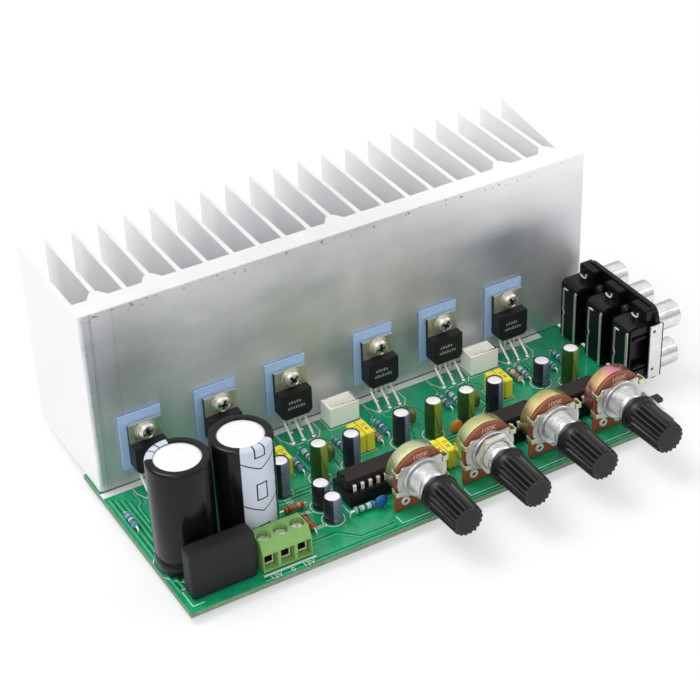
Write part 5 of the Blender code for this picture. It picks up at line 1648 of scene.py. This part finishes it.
arch += [(CONTACT_FACE, 2.4, 12.0), (CONTACT_FACE, 2.4, 18.4), (CONTACT_FACE, 0.4, 18.4)]
lip_x = WALL_FACE - 3.1
lip = [
    (lip_x, -0.3, 22.6), (lip_x, -0.3, 21.2), (lip_x, 0.4, 20.95), (lip_x, 2.1, 20.95),
    (lip_x, 2.5, 21.5),
]
contact_parts = [
    (strap(bends(long_leg, 0.9), (0, 1, 0), 1.0, 0.28), CONTACT),
    (wire(bends(arch, 0.4), 0.3, 0.8), CONTACT),
    (strap(bends(lip, 0.4), (1, 0, 0), 0.5, 0.3), CORE_WHITE),
]
contacts = repeated(contact_parts, [((0, y, 0),) for y in COLUMNS])
housing += by_look(contacts)
piece("jack_moulding", housing, ["jack_housing"])

# %% [markdown]
# The barrels are rolled from sheet, which leaves slits along them; one is turned, slit with thin
# blocks and set at all six places. The ground plate is a flat sheet folded round the near end.

# %% Barrels and ground plate
BARREL_ROOT = WALL_BACK + 0.7
PLATE_LEFT, PLATE_RIGHT = WALL_BACK + 0.3, WALL_BACK + 0.9
REACH = room("jack_plate")[1].x - BARREL_ROOT
shell_profile = [
    (3.35, REACH), (4.05, REACH), (4.2, REACH - 0.3), (4.2, 0.9), (4.35, 0.3), (4.35, 0), (3.35, 0),
    (3.35, REACH),
]
shell = turned(shell_profile, facing="right", steps=72, ease=0.06)
slits = []
for angle in (35, 125, 215, 305):
    slits.append(moved(block((0.6, 9.0), (-0.2, 0.2), (3.9, 5.0), 0), turn=angle, about="X"))
shell = cut(shell, slits)
shell.shade_smooth()
shell.set_sharp_from_angle(angle=math.radians(30))
core = turned(
    [(1.7, 6.2), (3.2, 6.2), (3.25, 6.0), (3.25, 0.2), (1.7, 0.2), (1.7, 6.2)], facing="right", steps=48,
    ease=0.06,
)
ground = block((PLATE_LEFT, PLATE_RIGHT), (WALL_FRONT - 0.9, WALL_REAR - 4.0), (1.5, 20.2), 0.12)
fold = block((PLATE_RIGHT - 4.8, PLATE_RIGHT), (WALL_FRONT - 0.9, WALL_FRONT - 0.3), (1.5, 20.2), 0.12)
hole = turned([(0, 0.6), (0.5, 0.6), (0.5, -0.6), (0, -0.6)], facing="front", steps=20)
holes = [moved(hole, PLATE_RIGHT - 3.4, WALL_FRONT - 0.6, z) for z in ROWS]
fold = cut(fold, holes)
upper = block((PLATE_LEFT, PLATE_RIGHT), (WALL_FRONT + 4, WALL_REAR - 4), (18.0, 24.2), 0.12)
jack_places = [((BARREL_ROOT, y, z),) for y in COLUMNS for z in ROWS]
barrels = repeated([(shell, BARREL), (core, CORE_WHITE)], jack_places)
plate_parts = [(ground, GROUND), (fold, GROUND), (upper, GROUND)] + by_look(barrels)
piece("jack_barrels", plate_parts, ["jack_plate"])

# %% [markdown]
# ## Switch and speaker sockets
# The switch is a folded bright can with a black slider. The speaker sockets are open nylon shrouds
# with two pins. Nylon lets a little light in; a faint painted glow lifts it in the heatsink's shade.

# %% Switch and sockets
SWITCH_METAL = plain_finish(
    "switch_can", (0.86, 0.84, 0.78), (0.74, 0.72, 0.66), 0.24, 0.36, 700.0, relief=0.2, metal=0.9
)
LEVER = plain_finish(
    "lever_plastic", (0.018, 0.018, 0.019), (0.010, 0.010, 0.011), 0.36, 0.5, 1500.0, relief=0.3
)
# Painted light: a faint glow brightens the nylon in the heatsink's shade.
GLOWING_NYLON = plain_finish(
    "white_nylon", (0.95, 0.95, 0.88), (0.91, 0.91, 0.83), 0.36, 0.5, 700.0, relief=0.15,
    Emission_Color=(1.0, 1.0, 0.93, 1.0), Emission_Strength=0.07
)
piece("switch_case", [(refined("switch_body", 0.12), SWITCH_METAL)], ["switch_body"])
piece(
    "switch_slider_bar", [(refined("switch_lever", 0.12), LEVER)], ["switch_lever"],
    "switch_slider",
)
for number in (1, 2):
    header = refined(f"speaker_header_{number}", 0.12)
    low, high = room(f"speaker_header_{number}")

    def header_look(centre, normal, middle=(low + high) / 2):
        inside = abs(centre.x - middle.x) < 2.0 and abs(centre.y - middle.y) < 0.6
        return 1 if inside and centre.z > 1.6 else 0

    split_looks(header, header_look)
    piece(
        f"speaker_socket_{number}", [(header, [GLOWING_NYLON, TINNED])], [f"speaker_header_{number}"],
    )

# %% [markdown]
# ## Small soldered parts
# Small capacitors come in two sleeves here, nearly black with a grey stripe and olive green with a
# lighter one. Each is one turned can, stretched to its own height by the point it stands on.

# %% Small cans
CAN_H = 12.0
small_skin = [
    (2.1, CAN_H - 0.22), (2.2, CAN_H), (2.45, CAN_H - 0.05), (2.6, CAN_H - 0.4), (2.6, 2.6),
    (2.38, 2.15), (2.38, 1.95), (2.6, 1.5), (2.6, 0.5), (2.35, 0.2), (0, 0.2),
]
small_shell = turned(small_skin, steps=40)
small_lid = turned(
    [(0, CAN_H - 0.2), (1.9, CAN_H - 0.2), (2.15, CAN_H - 0.3), (2.15, CAN_H - 0.8), (0, CAN_H - 0.8)],
    steps=36,
)
small_score = block((-1.3, 1.3), (-0.07, 0.07), (CAN_H - 0.21, CAN_H - 0.17), 0.01, 1)
SLEEVE_DARK = sleeve(
    "small_sleeve_dark", (0.022, 0.024, 0.034), (0.014, 0.015, 0.022), (0.16, 0.19, 0.26),
    (0.02, 0.02, 0.04), 0.5, 0.11, 4.0, 20.0,
)
SLEEVE_GREEN = sleeve(
    "small_sleeve_green", (0.030, 0.085, 0.018), (0.020, 0.060, 0.012), (0.22, 0.30, 0.045),
    (0.05, 0.10, 0.02), 0.5, 0.11, 40.0, 20.0,
)
for kind, look in (("dark", SLEEVE_DARK), ("green", SLEEVE_GREEN)):
    spots = []
    for i, ((x, ahead), height, colour) in enumerate(SMALL_CANS):
        if colour == kind:
            spots.append(((x, -ahead, 0), (0, 0, 106 + 9 * (i % 3)), (1, 1, height / CAN_H)))
    parts = [(small_shell, look), (small_lid, CAN_TOP), (small_score, CAN_TOP)]
    parts.append((moved(small_score, turn=90), CAN_TOP))
    piece(f"small_capacitors_{kind}", repeated(parts, spots))

# %% [markdown]
# Film capacitors are yellow boxes, the small green-brown ones are dipped drops, the orange and the
# blue one are discs, and the resistors are dog-bone bodies with colour bands, painted along their
# own UV.

# %% Film, dipped and axial parts
FILM_YELLOW = plain_finish(
    "film_yellow", (0.93, 0.80, 0.050), (0.84, 0.70, 0.036), 0.34, 0.46, 900.0, relief=0.3
)
FILM_MARK = plain_finish("film_mark", (0.30, 0.17, 0.03), (0.22, 0.12, 0.02), 0.5, 0.6, 1500.0, relief=0.2)
DIPPED_OLIVE = plain_finish(
    "dipped_olive", (0.135, 0.170, 0.030), (0.085, 0.115, 0.020), 0.18, 0.30, 350.0, relief=0.3
)
DIPPED_ORANGE = plain_finish(
    "dipped_orange", (0.70, 0.26, 0.03), (0.58, 0.19, 0.02), 0.24, 0.36, 500.0, relief=0.3
)
DIPPED_BLUE = plain_finish(
    "dipped_blue", (0.02, 0.13, 0.42), (0.015, 0.09, 0.32), 0.2, 0.32, 500.0, relief=0.3
)

film = block((-1.35, 1.35), (-3.6, 3.6), (0.15, 6.6), 0.22, 3)
film_marks = [
    block((-0.75, 0.75), (y - 0.14, y + 0.14), (6.55, 6.625), 0.01, 1) for y in (-1.5, -0.7, 0.5, 1.3)
]
film_marks.append(block((-0.16, 0.16), (-1.6, -0.6), (6.55, 6.625), 0.01, 1))
film_parts = [(film, FILM_YELLOW)] + [(mark, FILM_MARK) for mark in film_marks]
film_spots = [
    (49.0, 18.5), (72.0, 20.5), (75.0, 20.5), (120.0, 20.5), (123.0, 20.5), (87.3, 40.2), (90.3, 40.2)
]
piece("film_capacitors", repeated(film_parts, [((x, -a, 0),) for x, a in film_spots]))


def drop(half_across, half_along, low, high, steps=24):
    """A dipped lens: rounded all over, thinner across than along."""
    middle, rise = (low + high) / 2, (high - low) / 2
    profile = [(math.sin(math.pi * i / 12), math.cos(math.pi * i / 12)) for i in range(13)]
    mesh = turned([(max(r, 0), h) for r, h in profile], steps=steps)
    for vertex in mesh.vertices:
        x, y, z = vertex.co
        bulge = abs(z) ** 0.6 * (1 if z > 0 else -1) if abs(z) > 1e-6 else 0
        vertex.co = (x * half_across, y * half_along, middle + bulge * rise * 0.98)
    return mesh


olive = [(drop(1.3, 2.5, 0.6, 5.8), DIPPED_OLIVE), (wire([(0, -1.9, -0.2), (0, -1.9, 2.2)], 0.25), TINNED)]
olive.append((wire([(0, 1.9, -0.2), (0, 1.9, 2.2)], 0.25), TINNED))
piece(
    "dipped_chiclets",
    repeated(olive, [((x, -a, 0),) for x, a in ((62.7, 21.2), (91.5, 19.0), (111.6, 22.4))]),
)
lens = turned(
    [(0, 0.72), (1.3, 0.62), (1.95, 0.35), (2.2, 0), (1.95, -0.35), (1.3, -0.62), (0, -0.72)],
    facing="front",
    steps=36,
)
for name, look, x, ahead in (
    ("dipped_disc_orange", DIPPED_ORANGE, 100.4, 29.9),
    ("dipped_disc_blue", DIPPED_BLUE, 64.0, 48.0),
):
    parts = [(moved(lens, x, -ahead, 2.2), look)]
    for side in (-1, 1):
        parts.append((wire([(x + side * 1.1, -ahead, -0.2), (x + side * 1.1, -ahead, 1.2)], 0.22), TINNED))
    piece(name, parts)

RESISTOR_HALF = [(0, 3.1), (0.7, 3.05), (1.05, 2.8), (1.15, 2.3), (1.1, 1.9), (0.9, 1.5)]
RESISTOR_PROFILE = RESISTOR_HALF + [(0.88, 0)] + [(r, -h) for r, h in reversed(RESISTOR_HALF)]


def banded(name, light, dark, bands):
    """A resistor or diode body with coloured bands at heights along its UV."""
    made, tree, shader = finish_of(name, light, dark, 0.2, 0.34, 500.0, relief=0.15)
    _, up = uv_axes(tree)
    for place, colour in bands:
        recolour(tree, shader, within(tree, up, place - 0.27, place + 0.27, 0.04), colour)
    return made


PALE_BAND, DARK_BAND = (0.62, 0.62, 0.58), (0.02, 0.02, 0.03)
BROWN_BAND, GOLD_BAND = (0.20, 0.05, 0.02), (0.50, 0.34, 0.08)
BLUE_BODY = banded(
    "resistor_blue", (0.10, 0.36, 0.52), (0.07, 0.28, 0.42),
    ((2.2, BROWN_BAND), (1.1, DARK_BAND), (0.3, PALE_BAND), (-0.6, DARK_BAND), (-2.2, BROWN_BAND)),
)
TEAL_BODY = banded(
    "resistor_teal", (0.22, 0.52, 0.50), (0.16, 0.42, 0.42),
    ((2.2, DARK_BAND), (1.1, PALE_BAND), (0.2, DARK_BAND), (-0.8, PALE_BAND), (-2.2, DARK_BAND)),
)
CREAM_BODY = banded(
    "resistor_cream", (0.62, 0.50, 0.40), (0.52, 0.40, 0.31),
    ((2.2, DARK_BAND), (1.1, BROWN_BAND), (0.2, DARK_BAND), (-0.8, GOLD_BAND), (-2.2, DARK_BAND)),
)
DIODE_GLASS = banded(
    "diode_glass", (0.42, 0.10, 0.03), (0.30, 0.06, 0.02), ((-1.9, DARK_BAND), (1.4, GOLD_BAND))
)
body = turned(RESISTOR_PROFILE, steps=28)
body.transform(Matrix.Rotation(math.radians(90), 4, "X"))
body.transform(Matrix.Translation((0, 0, 1.4)))
leads = wire([(0, -4.5, -0.1), (0, -4.5, 1.4), (0, 4.5, 1.4), (0, 4.5, -0.1)], 0.28, 0.9)
BLUE_SPOTS = (
    (1.9, 16.8, 0), (53.0, 19.5, 0), (82.6, 17.2, 0), (105.0, 16.5, 0), (146.9, 15.8, 0), (68.0, 17.8, 0)
)
TEAL_SPOTS = ((57.4, 17.2, 0), (133.2, 16.5, 0), (59.2, 46.8, 90), (108.3, 16.6, 0), (142.6, 17.0, 0))
AXIALS = (
    (BLUE_BODY, BLUE_SPOTS),
    (TEAL_BODY, TEAL_SPOTS),
    (CREAM_BODY, ((79.2, 19.5, 0), (130.4, 16.8, 0))),
    (DIODE_GLASS, ((42.6, 36.2, 90), (43.0, 44.0, 0))),
)
for look, spots in AXIALS:
    places = [((x, -ahead, 0), (0, 0, angle)) for x, ahead, angle in spots]
    piece(
        look.name.replace("_body", "") + "_set", repeated([(body, look), (leads, LEAD)], places),
    )
